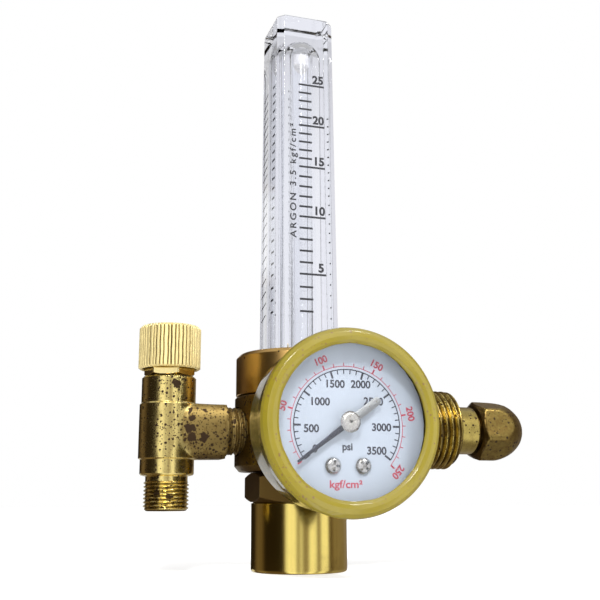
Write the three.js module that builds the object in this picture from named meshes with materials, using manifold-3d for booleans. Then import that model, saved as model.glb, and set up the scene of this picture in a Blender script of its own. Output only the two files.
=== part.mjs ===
// Gas regulator with a contents gauge, a flow tube and an outlet needle valve.
// Millimetres, +Z up. The origin is the centre of the bonnet's flat bottom face, on the body's axis.
// +X runs to the cylinder inlet, -X to the outlet valve, and the gauge faces -Y.
import * as THREE from 'three';
import { mergeVertices } from 'three/addons/utils/BufferGeometryUtils.js';
import Module from 'manifold-3d';

const wasm = await Module();
wasm.setup();

// Driving dimensions
const GAP = 0.3; // clearance kept between neighbouring pieces
const FINE = 36; // sides of a large turned piece
const MEDIUM = 22; // sides of a middling one
const COARSE = 12; // sides of a small one

const BONNET_R = 13.2;
const BONNET_TOP = 18.4; // top of the plain cylinder
const COLLAR_FLATS = 27; // hexagon across flats, also used by the inlet nut
const COLLAR_TOP = 26.3;
const BONNET_FLOOR = 4;
const SPRING_BORE_R = 9.6;
const BONNET_THREAD_R = 11.7;
const BONNET_END = 31.6;

const BLOCK_R = 18;
const BLOCK_TOP = 47.1;
const SHOULDER_Z = 33.9; // shoulder that the diaphragm is clamped against
const CHAMBER_R = 9.2;
const CHAMBER_TOP = 36.2;
const NOZZLE_BORE_R = 4.2;
const HIGH_BORE_R = 6.3;
const HIGH_FLOOR = 40.6;
const HIGH_CROSS_Z = 41.5; // cross drillings of the high pressure side
const POPPET_TRAVEL = 0.5;

const UPPER_R = 17.75;
const UPPER_TOP = 59.2;
const COVER_BORE_R = 8.8;
const COVER_BORE_FLOOR = 51.2;

const COVER_TOP = 162.2;
const COVER_BASE_HALF = 9.5; // half the width of the square cover at its foot
const COVER_TOP_HALF = 8.7;
const COVER_HOLLOW_R = 6;
const TUBE_R = 4.9;
const TUBE_FOOT = 53.8;
const TUBE_TOP = 152;
const FLOAT_R = 2.9;
const FLOAT_Z = 55.8;

const VALVE_X = -37.1;
const VALVE_Z = 37.5;
const VALVE_PORT_R = 6.5; // G1/4 thread
const OUTLET_R = 6; // M12 x 1 thread
const OUTLET_PITCH = 1;
const OUTLET_END = 16.2;
const BARREL_TOP = 51.8;
const KNOB_R = 8.4;
const KNOB_FOOT = 53.8;
const KNOB_TOP = 65.6;
const KNURL_RIDGES = 44;

const INLET_Z = 39.1;
const INLET_THREAD_R = 11.455; // G5/8 thread
const INLET_PITCH = 1.814;
const NUT_BACK = 24;
const NUT_END = 46.6;
const NECK_R = 7;
const NOSE_BACK = 54.6;
const NOSE_TIP = 71;
const DOME_FOOT = 59.5;
const NOSE_FLATS = 16;
const NOSE_R = 9;
const NIPPLE_PORT_R = 6.58;

const GAUGE_Z = 37.3;
const GAUGE_THREAD_R = 4.86; // G1/8 thread
const CASE_R = 21.6;
const CASE_BACK = 25.1; // distances in front of the body's axis
const CASE_MOUTH = 39.8;
const BEZEL_R = 22.9;
const BEZEL_FRONT = 43.6;
const GLASS_R = 18.65;
const DIAL_FACE = 37.9;
const DIAL_SCREW_X = 3.9;
const DIAL_SCREW_Y = -10.4;
const PINION_TEETH = 8;
const SECTOR_WHEEL_TEETH = 56; // teeth of the full wheel that the sector is part of
const GEAR_MODULE = 0.4;
const PINION_PITCH_R = (PINION_TEETH * GEAR_MODULE) / 2;
const SECTOR_PITCH_R = (SECTOR_WHEEL_TEETH * GEAR_MODULE) / 2;
const SECTOR_PIVOT_Y = -(PINION_PITCH_R + SECTOR_PITCH_R);
const ZERO_ANGLE = 126; // degrees from straight up, anticlockwise, of the pointer at zero

// Finishes
const finish = (color, roughness, metalness) => ({ color, roughness, metalness });
const BRASS = finish(0xc9a24a, 0.3, 1);
const POLISHED_BRASS = finish(0xd9b45a, 0.2, 1);
const DULL_BRASS = finish(0x8a6a34, 0.5, 1);
const PALE_BRASS = finish(0xe3c878, 0.35, 1);
const STEEL = finish(0x9aa0a6, 0.35, 1);
const NICKEL = finish(0xc8c6c0, 0.25, 1);
const PAINT = finish(0xb0a040, 0.35, 0.1);
const RUBBER = finish(0x202020, 0.8, 0);
const PLASTIC = finish(0xe8e4da, 0.5, 0);
const ACRYLIC = finish(0xdfe8ee, 0.05, 0);
const WHITE = finish(0xd5dfe8, 0.5, 0);
const BRONZE = finish(0x9a6a3c, 0.8, 0.6);

const radians = (degrees) => (degrees * Math.PI) / 180;

// ---- closed geometry and booleans ----

// A geometry with shared corners merged, collapsed triangles dropped and its faces pointing out.
function closed(geometry) {
  const bare = geometry.clone();
  bare.deleteAttribute('normal');
  bare.deleteAttribute('uv');
  const merged = mergeVertices(bare, 1e-4);
  const points = merged.attributes.position.array;
  const index = merged.index.array;
  const kept = [];
  let volume = 0;
  const corner = [new THREE.Vector3(), new THREE.Vector3(), new THREE.Vector3()];
  for (let i = 0; i < index.length; i += 3) {
    const [a, b, c] = [index[i], index[i + 1], index[i + 2]];
    if (a === b || b === c || a === c) continue;
    kept.push(a, b, c);
    [a, b, c].forEach((vertex, k) => corner[k].fromArray(points, vertex * 3));
    volume += corner[0].dot(corner[1].cross(corner[2])) / 6;
  }
  if (volume < 0) kept.reverse();
  merged.setIndex(kept);
  return merged;
}

function toSolid(geometry) {
  const { attributes, index } = closed(geometry);
  const vertProperties = new Float32Array(attributes.position.array);
  const triVerts = new Uint32Array(index.array);
  return new wasm.Manifold(new wasm.Mesh({ numProp: 3, vertProperties, triVerts }));
}

function fromSolid(solid) {
  const { vertProperties, triVerts } = solid.getMesh();
  const geometry = new THREE.BufferGeometry();
  geometry.setAttribute('position', new THREE.BufferAttribute(new Float32Array(vertProperties), 3));
  geometry.setIndex(new THREE.BufferAttribute(new Uint32Array(triVerts), 1));
  return geometry;
}

const join = (first, ...others) =>
  fromSolid(others.reduce((solid, other) => solid.add(toSolid(other)), toSolid(first)));
const cut = (first, ...others) =>
  fromSolid(others.reduce((solid, other) => solid.subtract(toSolid(other)), toSolid(first)));
const common = (first, second) => fromSolid(toSolid(first).intersect(toSolid(second)));

// ---- shapes ----

// A turned solid about +Z from [radius, height] points that start and end on the axis.
function turned(profile, sides = FINE) {
  const points = profile.map(([radius, height]) => new THREE.Vector2(radius, height));
  return new THREE.LatheGeometry(points, sides).rotateX(Math.PI / 2);
}

// A turned ring about +Z: the profile closes on itself.
const ring = (profile, sides = FINE) => turned([...profile, profile[0]], sides);

// A plain round bar along +Z from foot to top.
const bar = (radius, foot, top, sides = FINE) =>
  turned([[0, foot], [radius, foot], [radius, top], [0, top]], sides);

// A washer or sleeve along +Z.
const sleeve = (inner, outer, foot, top, sides = FINE) =>
  ring([[inner, foot], [outer, foot], [outer, top], [inner, top]], sides);

// A bar between two points, for a drilling.
function drilling(radius, from, to) {
  const start = new THREE.Vector3(...from);
  const way = new THREE.Vector3(...to).sub(start);
  const geometry = bar(radius, 0, way.length(), COARSE);
  const turn = new THREE.Quaternion().setFromUnitVectors(new THREE.Vector3(0, 0, 1), way.normalize());
  return geometry.applyQuaternion(turn).translate(...start.toArray());
}

// A prism of an outline given as [x, y] points, with optional round holes [x, y, radius].
function prism(outline, foot, top, holes = []) {
  const shape = new THREE.Shape(outline.map(([x, y]) => new THREE.Vector2(x, y)));
  for (const [x, y, radius] of holes) {
    shape.holes.push(new THREE.Path().absarc(x, y, radius, 0, 2 * Math.PI));
  }
  const settings = { depth: top - foot, bevelEnabled: false, curveSegments: 5 };
  return new THREE.ExtrudeGeometry(shape, settings).translate(0, 0, foot);
}

const polygon = (count, radius, turn = 0) =>
  Array.from({ length: count }, (_, i) => {
    const angle = radians(turn) + (2 * Math.PI * i) / count;
    return [radius * Math.cos(angle), radius * Math.sin(angle)];
  });

// A hexagon bar with its corners turned off at both ends.
function hexagon(flats, foot, top, turn = 0) {
  const corner = flats / Math.sqrt(3);
  const rounding = turned([
    [0, foot], [flats / 2 - 0.3, foot], [corner, foot + 1.2],
    [corner, top - 1.2], [flats / 2 - 0.3, top], [0, top],
  ], FINE);
  return common(prism(polygon(6, corner, turn), foot, top), rounding);
}

// The outer line of a ring-grooved thread, from the foot up, as [radius, height] points.
function threadLine(radius, depth, pitch, foot, turns) {
  const line = [];
  for (let i = 0; i < turns; i += 1) {
    const low = foot + i * pitch;
    line.push([radius - depth, low], [radius, low + pitch / 2]);
  }
  line.push([radius - depth, foot + turns * pitch]);
  return line;
}

// A coil spring about +Z, its wire centre running between foot and top.
function coil(radius, wire, foot, top, turns, stepsPerTurn) {
  class Helix extends THREE.Curve {
    getPoint(t, target = new THREE.Vector3()) {
      const angle = 2 * Math.PI * turns * t;
      const height = THREE.MathUtils.lerp(foot, top, t);
      return target.set(radius * Math.cos(angle), radius * Math.sin(angle), height);
    }
  }
  const section = new THREE.Shape(polygon(5, wire).map(([x, y]) => new THREE.Vector2(x, y)));
  const settings = { steps: Math.round(turns * stepsPerTurn), extrudePath: new Helix() };
  return new THREE.ExtrudeGeometry(section, settings);
}

// ---- placing ----

const regulator = new THREE.Group();

function piece(group, name, geometry, surface) {
  const mesh = new THREE.Mesh(closed(geometry), new THREE.MeshStandardMaterial(surface));
  mesh.geometry.computeVertexNormals();
  mesh.name = name;
  group.add(mesh);
  return mesh;
}

// ---- bonnet and spring stack ----

function bonnet() {
  const skin = turned([
    [0, 0], [BONNET_R - 0.5, 0], [BONNET_R, 0.5], [BONNET_R, BONNET_TOP], [BONNET_THREAD_R, BONNET_TOP],
    [BONNET_THREAD_R, BONNET_END], [0, BONNET_END],
  ]);
  const collar = hexagon(COLLAR_FLATS, BONNET_TOP, COLLAR_TOP, 30);
  return cut(join(skin, collar), bar(SPRING_BORE_R, BONNET_FLOOR, BONNET_END + 1));
}

function presetDisc() {
  const disc = turned([[0, 5.5], [9.3, 5.5], [9.3, 9], [4.6, 9], [4.6, 10.4], [0, 10.4]], MEDIUM);
  const driver = [1, -1].map((side) => drilling(1, [side * 6.8, 0, 7], [side * 6.8, 0, 11]));
  return cut(disc, ...driver);
}

function diaphragmPlate() {
  return turned([
    [0, 28.6], [3.9, 28.6], [4.6, 29.2], [4.6, 30.6], [8.6, 30.6], [8.6, 32], [7.6, 32.6], [0, 32.6],
  ], MEDIUM);
}

function addSpringStack() {
  piece(regulator, 'bonnet', bonnet(), BRASS);
  piece(regulator, 'preset_disc', presetDisc(), BRASS);
  piece(regulator, 'main_spring', coil(6.5, 0.9, 11.6, 29.4, 4.5, 12), STEEL);
  piece(regulator, 'diaphragm_plate', diaphragmPlate(), BRASS);
  piece(regulator, 'slip_ring', sleeve(9, 11.4, BONNET_END + GAP, 32.6, MEDIUM), STEEL);
  piece(regulator, 'diaphragm', bar(11.4, 32.9, SHOULDER_Z - GAP, MEDIUM), RUBBER);
}

// ---- body ----

// Slanted drilling that takes metered gas from the flow tube to the outlet port.
const outletDrilling = () => drilling(0.9, [-7.4, 0, 52], [-14.6, 0, 42.6]);
// Drilling that takes reduced gas up beside the high pressure bore.
const RISER_Y = 8.4;

function bodyBlock() {
  const skin = turned([
    [0, COLLAR_TOP + GAP], [BLOCK_R - 1.2, COLLAR_TOP + GAP], [BLOCK_R - 0.35, COLLAR_TOP + 0.75],
    [BLOCK_R, COLLAR_TOP + 1.6], [BLOCK_R, BLOCK_TOP - 0.3], [BLOCK_R - 0.3, BLOCK_TOP], [0, BLOCK_TOP],
  ]);
  const cavity = turned([
    [0, COLLAR_TOP], [BONNET_THREAD_R + GAP, COLLAR_TOP], [BONNET_THREAD_R + GAP, SHOULDER_Z],
    [CHAMBER_R, SHOULDER_Z], [CHAMBER_R, CHAMBER_TOP], [NOZZLE_BORE_R, CHAMBER_TOP],
    [NOZZLE_BORE_R, HIGH_FLOOR], [HIGH_BORE_R, HIGH_FLOOR], [HIGH_BORE_R, 46], [8, 46],
    [8, BLOCK_TOP + 1], [0, BLOCK_TOP + 1],
  ], MEDIUM);
  return cut(
    skin,
    cavity,
    bar(VALVE_PORT_R + GAP, 13.6, 20, MEDIUM).rotateY(-Math.PI / 2).translate(0, 0, VALVE_Z),
    bar(NIPPLE_PORT_R + GAP, 12.6, 20, MEDIUM).rotateY(Math.PI / 2).translate(0, 0, INLET_Z),
    bar(GAUGE_THREAD_R + GAP, 13.1, 20, MEDIUM).rotateX(Math.PI / 2).translate(0, 0, GAUGE_Z),
    drilling(1.2, [4, 0, HIGH_CROSS_Z], [13.5, 0, HIGH_CROSS_Z]),
    drilling(0.8, [0, -4, HIGH_CROSS_Z], [0, -14, HIGH_CROSS_Z - 1]),
    drilling(1.1, [0, RISER_Y, CHAMBER_TOP - 1], [0, RISER_Y, BLOCK_TOP + 1]),
    outletDrilling(),
  );
}

function upperBlock() {
  const skin = turned([
    [0, 43.2], [HIGH_BORE_R - GAP, 43.2], [HIGH_BORE_R - GAP, BLOCK_TOP + GAP],
    [UPPER_R - 0.3, BLOCK_TOP + GAP], [UPPER_R, BLOCK_TOP + 0.6], [UPPER_R, UPPER_TOP - 1.2],
    [UPPER_R - 0.35, UPPER_TOP - 0.35], [UPPER_R - 1.2, UPPER_TOP], [0, UPPER_TOP],
  ]);
  const well = turned([
    [0, 49], [4.9, 49], [4.9, COVER_BORE_FLOOR], [COVER_BORE_R, COVER_BORE_FLOOR],
    [COVER_BORE_R, UPPER_TOP + 1], [0, UPPER_TOP + 1],
  ], MEDIUM);
  return cut(
    skin,
    well,
    bar(3.4, 42, 47.5, COARSE),
    drilling(1.1, [0, RISER_Y, BLOCK_TOP], [0, RISER_Y, 50]),
    drilling(0.9, [0, RISER_Y, 49.7], [0, 3, 49.7]),
    outletDrilling(),
  );
}

function nozzleSeat() {
  return ring([
    [1.6, 36.5], [3.9, 36.5], [3.9, 39.6], [2.6, 40.3], [1.9, 40.3], [1.6, 40],
  ], MEDIUM);
}

function poppet() {
  const head = HIGH_FLOOR + 0.3;
  return turned([
    [0, SHOULDER_Z], [2.6, SHOULDER_Z], [2.6, 34.7], [1.2, 35], [1.2, head], [3.2, head],
    [3.2, head + 1.1], [1, head + 1.1], [1, head + 2.2], [0, head + 2.2],
  ], MEDIUM);
}

function addBody() {
  piece(regulator, 'body_block', bodyBlock(), DULL_BRASS);
  piece(regulator, 'nozzle_seat', nozzleSeat(), BRASS);
  piece(regulator, 'poppet', poppet(), STEEL);
  piece(regulator, 'poppet_spring', coil(2.1, 0.25, 42.6, 46.9, 4, 8), STEEL);
  piece(regulator, 'block_seal', sleeve(6.6, 7.7, 46.3, 47, MEDIUM), RUBBER);
  piece(regulator, 'upper_block', upperBlock(), POLISHED_BRASS);
}

// ---- flow tube ----

// The square cover narrows evenly from its foot to its top, and its corners are cut off.
function taperedSquare(foot, top) {
  const corners = (half, chamfer) => [
    [half, half - chamfer], [half - chamfer, half], [chamfer - half, half], [-half, half - chamfer],
    [-half, chamfer - half], [chamfer - half, -half], [half - chamfer, -half], [half, chamfer - half],
  ];
  const geometry = prism(corners(COVER_BASE_HALF, 2), foot, top);
  const place = geometry.attributes.position;
  const narrowing = COVER_TOP_HALF / COVER_BASE_HALF;
  for (let i = 0; i < place.count; i += 1) {
    if (place.getZ(i) < top - 1e-3) continue;
    place.setXY(i, place.getX(i) * narrowing, place.getY(i) * narrowing);
  }
  return geometry;
}

function flowCover() {
  const crown = turned([
    [0, 50], [COVER_BASE_HALF * 2, 50], [COVER_BASE_HALF * 2, COVER_TOP - 6],
    [COVER_TOP_HALF + 0.6, COVER_TOP], [0, COVER_TOP],
  ], FINE);
  const square = common(taperedSquare(UPPER_TOP + GAP, COVER_TOP), crown);
  const spigot = turned([
    [0, 51.5], [8.5, 51.5], [8.5, 53.8], [7.3, 53.8], [7.3, 56.2], [8.5, 56.2], [8.5, 60], [0, 60],
  ], MEDIUM);
  const hollow = [[0, 50], [COVER_HOLLOW_R, 50]];
  const DOME_FOOT = 150;
  for (let step = 0; step < 4; step += 1) {
    const angle = radians(22.5 * step);
    hollow.push([COVER_HOLLOW_R * Math.cos(angle), DOME_FOOT + COVER_HOLLOW_R * Math.sin(angle)]);
  }
  hollow.push([0, DOME_FOOT + COVER_HOLLOW_R]);
  return cut(join(square, spigot), turned(hollow, MEDIUM));
}

function tubeFitting() {
  return ring([
    [1.1, 49.6], [4.6, 49.6], [4.6, 51.6], [5.7, 51.6], [5.7, 57], [5.2, 57], [5.2, 52.6],
    [2, 52.6], [1.1, 51.8],
  ], MEDIUM);
}

function meteringTube() {
  return ring([[3.2, TUBE_FOOT], [TUBE_R, TUBE_FOOT], [TUBE_R, TUBE_TOP], [4.2, TUBE_TOP]], MEDIUM);
}

function floatStop() {
  const plug = turned([[0, 147], [2.6, 147], [3.6, 148], [3.6, 151.4], [0, 151.4]], COARSE);
  return cut(plug, prism([[-0.8, -4], [0.8, -4], [0.8, 4], [-0.8, 4]], 149, 152));
}

function addFlowTube() {
  piece(regulator, 'tube_fitting', tubeFitting(), BRASS);
  piece(regulator, 'tube_washer', sleeve(3.4, 4.8, 52.9, 53.5, MEDIUM), RUBBER);
  piece(regulator, 'metering_tube', meteringTube(), ACRYLIC);
  piece(regulator, 'float_stop', floatStop(), RUBBER);
  const float = piece(regulator, 'float_ball', new THREE.SphereGeometry(FLOAT_R, 16, 10), STEEL);
  float.position.set(0, 0, FLOAT_Z);
  piece(regulator, 'flow_cover', flowCover(), ACRYLIC);
  const seal = piece(regulator, 'cover_seal', new THREE.TorusGeometry(8.05, 0.45, 6, MEDIUM), RUBBER);
  seal.position.set(0, 0, 55);
}

// ---- outlet valve, placed about its own vertical axis ----

function valveBody() {
  const stretch = 7; // whole turns of the outlet thread
  const barrel = turned([
    [0, OUTLET_END], [4.9, OUTLET_END],
    ...threadLine(OUTLET_R, 0.6, OUTLET_PITCH, OUTLET_END + 0.4, stretch),
    [5.6, 23.8], [5.6, 25.3], [6.8, 25.6], [7.2, 26], [7.2, 29.6], [7.7, 29.9], [7.7, 44.3],
    [7.3, 44.6], [7.3, BARREL_TOP - 0.4], [6.9, BARREL_TOP], [0, BARREL_TOP],
  ], MEDIUM);
  const boss = turned([
    [0, 0], [7.6, 0], [7.6, 15], [6.4, 16.5], ...threadLine(VALVE_PORT_R, 0.7, 1.337, 16.7, 5), [0, 23.385],
  ], MEDIUM);
  boss.rotateY(Math.PI / 2).translate(0, 0, VALVE_Z);
  return cut(
    join(barrel, boss),
    turned([[0, 15], [2.5, 15], [2, 17], [2, 31], [1.2, 32], [1.2, 34], [2.9, 35.5], [2.9, 46.5],
      [4.9, 46.5], [4.9, BARREL_TOP + 1], [0, BARREL_TOP + 1]], MEDIUM),
    drilling(2, [2, 0, VALVE_Z], [25, 0, VALVE_Z]),
  );
}

function packingNut() {
  const shank = bar(4.6, 48.2, 52.5, MEDIUM);
  return cut(join(hexagon(12, 52.1, 56.4, 41), shank), bar(2.8, 47, 58, COARSE));
}

function valveStem() {
  const spindle = turned([
    [0, 31.8], [0.25, 31.8], [0.9, 34.4], [1.6, 36], [2.5, 36.5], [2.5, 62.9], [0, 62.9],
  ], MEDIUM);
  return cut(spindle, bar(1.5, 57.6, 64, COARSE));
}

function valveKnob() {
  const outline = [];
  for (let ridge = 0; ridge < KNURL_RIDGES; ridge += 1) {
    [[0.25, 0], [0.75, 0.45]].forEach(([along, depth]) => {
      const angle = (2 * Math.PI * (ridge + along)) / KNURL_RIDGES;
      const radius = KNOB_R - depth;
      outline.push([radius * Math.cos(angle), radius * Math.sin(angle)]);
    });
  }
  const rounding = turned([
    [0, KNOB_FOOT], [KNOB_R - 0.5, KNOB_FOOT], [KNOB_R + 0.1, KNOB_FOOT + 0.5],
    [KNOB_R + 0.1, KNOB_TOP - 0.8], [KNOB_R - 0.9, KNOB_TOP], [0, KNOB_TOP],
  ], MEDIUM);
  return cut(
    common(prism(outline, KNOB_FOOT, KNOB_TOP), rounding),
    turned([[0, KNOB_FOOT - 1], [7.3, KNOB_FOOT - 1], [7.3, 57.3], [2.8, 57.3], [2.8, 63.2], [1.5, 63.2],
      [1.5, 64], [3.3, 64], [3.3, KNOB_TOP + 1], [0, KNOB_TOP + 1]], MEDIUM),
  );
}

function knobScrew() {
  const screw = turned([
    [0, 58], [1.2, 58], [1.2, 64.3], [3, 64.3], [3, 65.2], [2.7, 65.5], [0, 65.5],
  ], COARSE);
  return cut(screw, prism([[-4, -0.4], [4, -0.4], [4, 0.4], [-4, 0.4]], 64.8, 66));
}

function addValve() {
  const valve = new THREE.Group();
  valve.position.set(VALVE_X, 0, 0);
  regulator.add(valve);
  piece(valve, 'valve_body', valveBody(), BRASS);
  piece(valve, 'valve_packing', sleeve(2.8, 4.6, 46.8, 47.9, COARSE), PLASTIC);
  piece(valve, 'packing_nut', packingNut(), BRASS);
  piece(valve, 'valve_stem', valveStem(), STEEL);
  piece(valve, 'valve_knob', valveKnob(), PALE_BRASS);
  piece(valve, 'knob_screw', knobScrew(), NICKEL);
}

// ---- inlet, placed with its own +Z along the body's +X ----

function inletNipple() {
  const stem = turned([
    [0, 12.9], [NIPPLE_PORT_R, 12.9], [NIPPLE_PORT_R, 19], [NECK_R, 19], [NECK_R, NOSE_BACK + 3], [0, NOSE_BACK + 3],
  ], MEDIUM);
  const bullet = [[0, NOSE_BACK], [NECK_R - 0.2, NOSE_BACK], [NOSE_R, NOSE_BACK + 1.7]];
  for (let step = 0; step < 4; step += 1) {
    const angle = radians(22.5 * step);
    bullet.push([NOSE_R * Math.cos(angle), DOME_FOOT + (NOSE_TIP - DOME_FOOT) * Math.sin(angle)]);
  }
  bullet.push([1.75, NOSE_TIP - 0.1], [0, NOSE_TIP - 0.1]);
  // A corner of the nose's hexagon lies 18 degrees below the gauge side.
  const flats = prism(polygon(6, NOSE_FLATS / Math.sqrt(3), -108), NOSE_BACK, NOSE_TIP);
  return cut(
    join(stem, hexagon(17, 18.9, 23, 0), common(flats, turned(bullet))),
    bar(1.75, 12, NOSE_TIP + 1, COARSE),
    bar(2.7, 12, 20.5, COARSE),
  );
}

function inletNut() {
  const thread = threadLine(INLET_THREAD_R, 1.1, INLET_PITCH, NUT_END - 11.6, 6);
  const skin = turned([
    [0, 32], [10.2, 32], ...thread, [9.9, NUT_END], [0, NUT_END],
  ]);
  return cut(join(skin, hexagon(COLLAR_FLATS, NUT_BACK, 33.5, 0)), bar(NECK_R + GAP, 20, 50, MEDIUM));
}

function addInlet() {
  const inlet = new THREE.Group();
  inlet.position.set(0, 0, INLET_Z);
  inlet.rotation.set(0, Math.PI / 2, 0);
  regulator.add(inlet);
  piece(inlet, 'inlet_nipple', inletNipple(), DULL_BRASS);
  piece(inlet, 'inlet_filter', bar(2.3, 13.2, 20.1, COARSE), BRONZE);
  piece(inlet, 'inlet_nut', inletNut(), BRASS);
}

// ---- gauge, placed with its own +Z towards the viewer and +Y up ----

function gaugeSocket() {
  const stem = turned([
    [0, 13.4], [GAUGE_THREAD_R, 13.4], [GAUGE_THREAD_R, 18.9], [5, 18.9], [5, 27], [0, 27],
  ], MEDIUM);
  const square = prism([[-7, -7], [7, -7], [7, 7], [-7, 7]], 18.9, CASE_BACK - GAP);
  const foot = prism([[-4, -17.4], [4, -17.4], [4, 4.5], [-4, 4.5]], 26.4, 30.3);
  return cut(join(stem, square, foot), bar(1, 12, 28.5, COARSE));
}

function gaugeCase() {
  return ring([
    [5.3, CASE_BACK], [CASE_R - 2, CASE_BACK], [CASE_R - 0.6, CASE_BACK + 0.6], [CASE_R, CASE_BACK + 2],
    [CASE_R, CASE_MOUTH], [CASE_R - 0.8, CASE_MOUTH], [CASE_R - 0.8, CASE_BACK + 2.2],
    [CASE_R - 2.2, CASE_BACK + 1], [5.3, CASE_BACK + 1],
  ]);
}

function gaugeBezel() {
  return ring([
    [CASE_R + GAP, 37.2], [BEZEL_R, 37.2], [BEZEL_R, 41.2], [BEZEL_R - 0.4, 42.5],
    [BEZEL_R - 1.2, 43.3], [BEZEL_R - 2.1, BEZEL_FRONT], [GLASS_R + 0.9, 43.4], [GLASS_R + 0.2, 43],
    [GLASS_R, 42.5], [CASE_R + GAP, 42.5],
  ]);
}

function dialScrew(side) {
  const head = turned([
    [0, 34.9], [0.95, 34.9], [0.95, DIAL_FACE + GAP], [2.05, DIAL_FACE + GAP], [2.05, 38.5],
    [1.5, 38.95], [0.7, 39.1], [0, 39.1],
  ], COARSE);
  const cross = [0, 90].map((turn) =>
    prism([[-1.2, -0.25], [1.2, -0.25], [1.2, 0.25], [-1.2, 0.25]], 38.7, 40).rotateZ(radians(turn + 20)),
  );
  return cut(head, ...cross).translate(side * DIAL_SCREW_X, DIAL_SCREW_Y, 0);
}

function bourdonTube() {
  class Bend extends THREE.Curve {
    getPoint(t, target = new THREE.Vector3()) {
      const angle = radians(THREE.MathUtils.lerp(254, -14, t));
      return target.set(16.2 * Math.cos(angle), 16.2 * Math.sin(angle), 28.6);
    }
  }
  const oval = new THREE.Shape();
  oval.absellipse(0, 0, 1.7, 0.7, 0, 2 * Math.PI);
  return new THREE.ExtrudeGeometry(oval, { steps: 26, extrudePath: new Bend(), curveSegments: 3 });
}

// One gear tooth outline about a wheel's centre, as [radius, angle in pitches] points.
const toothLine = (pitchRadius) => [
  [pitchRadius - 0.42, -0.24], [pitchRadius, -0.17], [pitchRadius + 0.3, -0.09],
  [pitchRadius + 0.3, 0.09], [pitchRadius, 0.17], [pitchRadius - 0.42, 0.24],
];

function gearOutline(pitchRadius, teeth, first, last, turn) {
  const outline = [];
  for (let tooth = first; tooth <= last; tooth += 1) {
    toothLine(pitchRadius).forEach(([radius, along]) => {
      const angle = turn + (2 * Math.PI * (tooth + along)) / teeth;
      outline.push([radius * Math.cos(angle), radius * Math.sin(angle)]);
    });
  }
  return outline;
}

function pointerPinion() {
  // The wheel shows a tooth space to the sector, straight below the arbor.
  const turn = -Math.PI / 2 + Math.PI / PINION_TEETH;
  const outline = gearOutline(PINION_PITCH_R, PINION_TEETH, 0, PINION_TEETH - 1, turn);
  return join(prism(outline, 32.6, 33.9), bar(0.7, 30.7, 40.1, COARSE));
}

const LINK_ARM = 4.5; // sector pivot to link pin
const TUBE_TIP = [15.7, -4];

function sectorGear() {
  // Drawn about its own pivot. One tooth points straight up, into the pinion's tooth space.
  const outline = gearOutline(SECTOR_PITCH_R, SECTOR_WHEEL_TEETH, -7, 1, Math.PI / 2);
  const blade = prism([[1.2, -1.4], ...outline, [-1.2, -1.4]], 32.8, 33.6);
  const arm = prism([[0, -1.3], [LINK_ARM, -1.1], [LINK_ARM + 1.1, 0], [LINK_ARM, 1.1], [0, 1.3]], 32.8, 33.6);
  const pin = bar(0.55, 31.6, 33.6, COARSE).translate(LINK_ARM, 0, 0);
  return join(blade, arm, pin, bar(1.5, 32.8, 33.6, COARSE), bar(0.7, 30.7, 35, COARSE));
}

function link() {
  const [x, y] = TUBE_TIP;
  const start = new THREE.Vector2(LINK_ARM, SECTOR_PIVOT_Y);
  const way = new THREE.Vector2(x, y).sub(start);
  const length = way.length();
  const outline = [];
  for (let step = 0; step <= 6; step += 1) {
    const angle = radians(90 + 30 * step);
    outline.push([1.5 * Math.cos(angle), 1.5 * Math.sin(angle)]);
  }
  for (let step = 0; step <= 6; step += 1) {
    const angle = radians(-90 + 30 * step);
    outline.push([length + 1.1 * Math.cos(angle), 1.1 * Math.sin(angle)]);
  }
  const strip = prism(outline, 31.8, 32.3, [[0, 0, 0.9], [length, 0, 0.5]]);
  return strip.rotateZ(way.angle()).translate(start.x, start.y, 0);
}

const PLATE_HOLES = [[0, 0, 1], [0, SECTOR_PIVOT_Y, 1]];
const PILLARS = [[-4.9, 2.3], [4.9, 2.3], [-4.9, -14.6]];

function plate(foot, top, holes) {
  const outline = [[-6, -15], [-5, -16], [5, -16], [6, -15], [6, 3], [5, 4], [-5, 4], [-6, 3]];
  return prism(outline, foot, top, holes);
}

function pointer() {
  // Drawn pointing up, then turned to zero at the lower left. The tail is a broad blade.
  const outline = [[0.5, 16.4], [0.75, 2.2], [1.3, 1.6], [1.3, 0.8], [1.05, -1], [1.05, -8.8]];
  for (let step = 1; step < 6; step += 1) {
    const angle = radians(-30 * step);
    outline.push([1.05 * Math.cos(angle), -8.8 + 1.05 * Math.sin(angle)]);
  }
  outline.push([-1.05, -8.8], [-1.05, -1], [-1.3, 0.8], [-1.3, 1.6], [-0.75, 2.2], [-0.5, 16.4]);
  return prism(outline, 39.4, 39.75, [[0, 0, 1]]).rotateZ(radians(ZERO_ANGLE));
}

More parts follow.
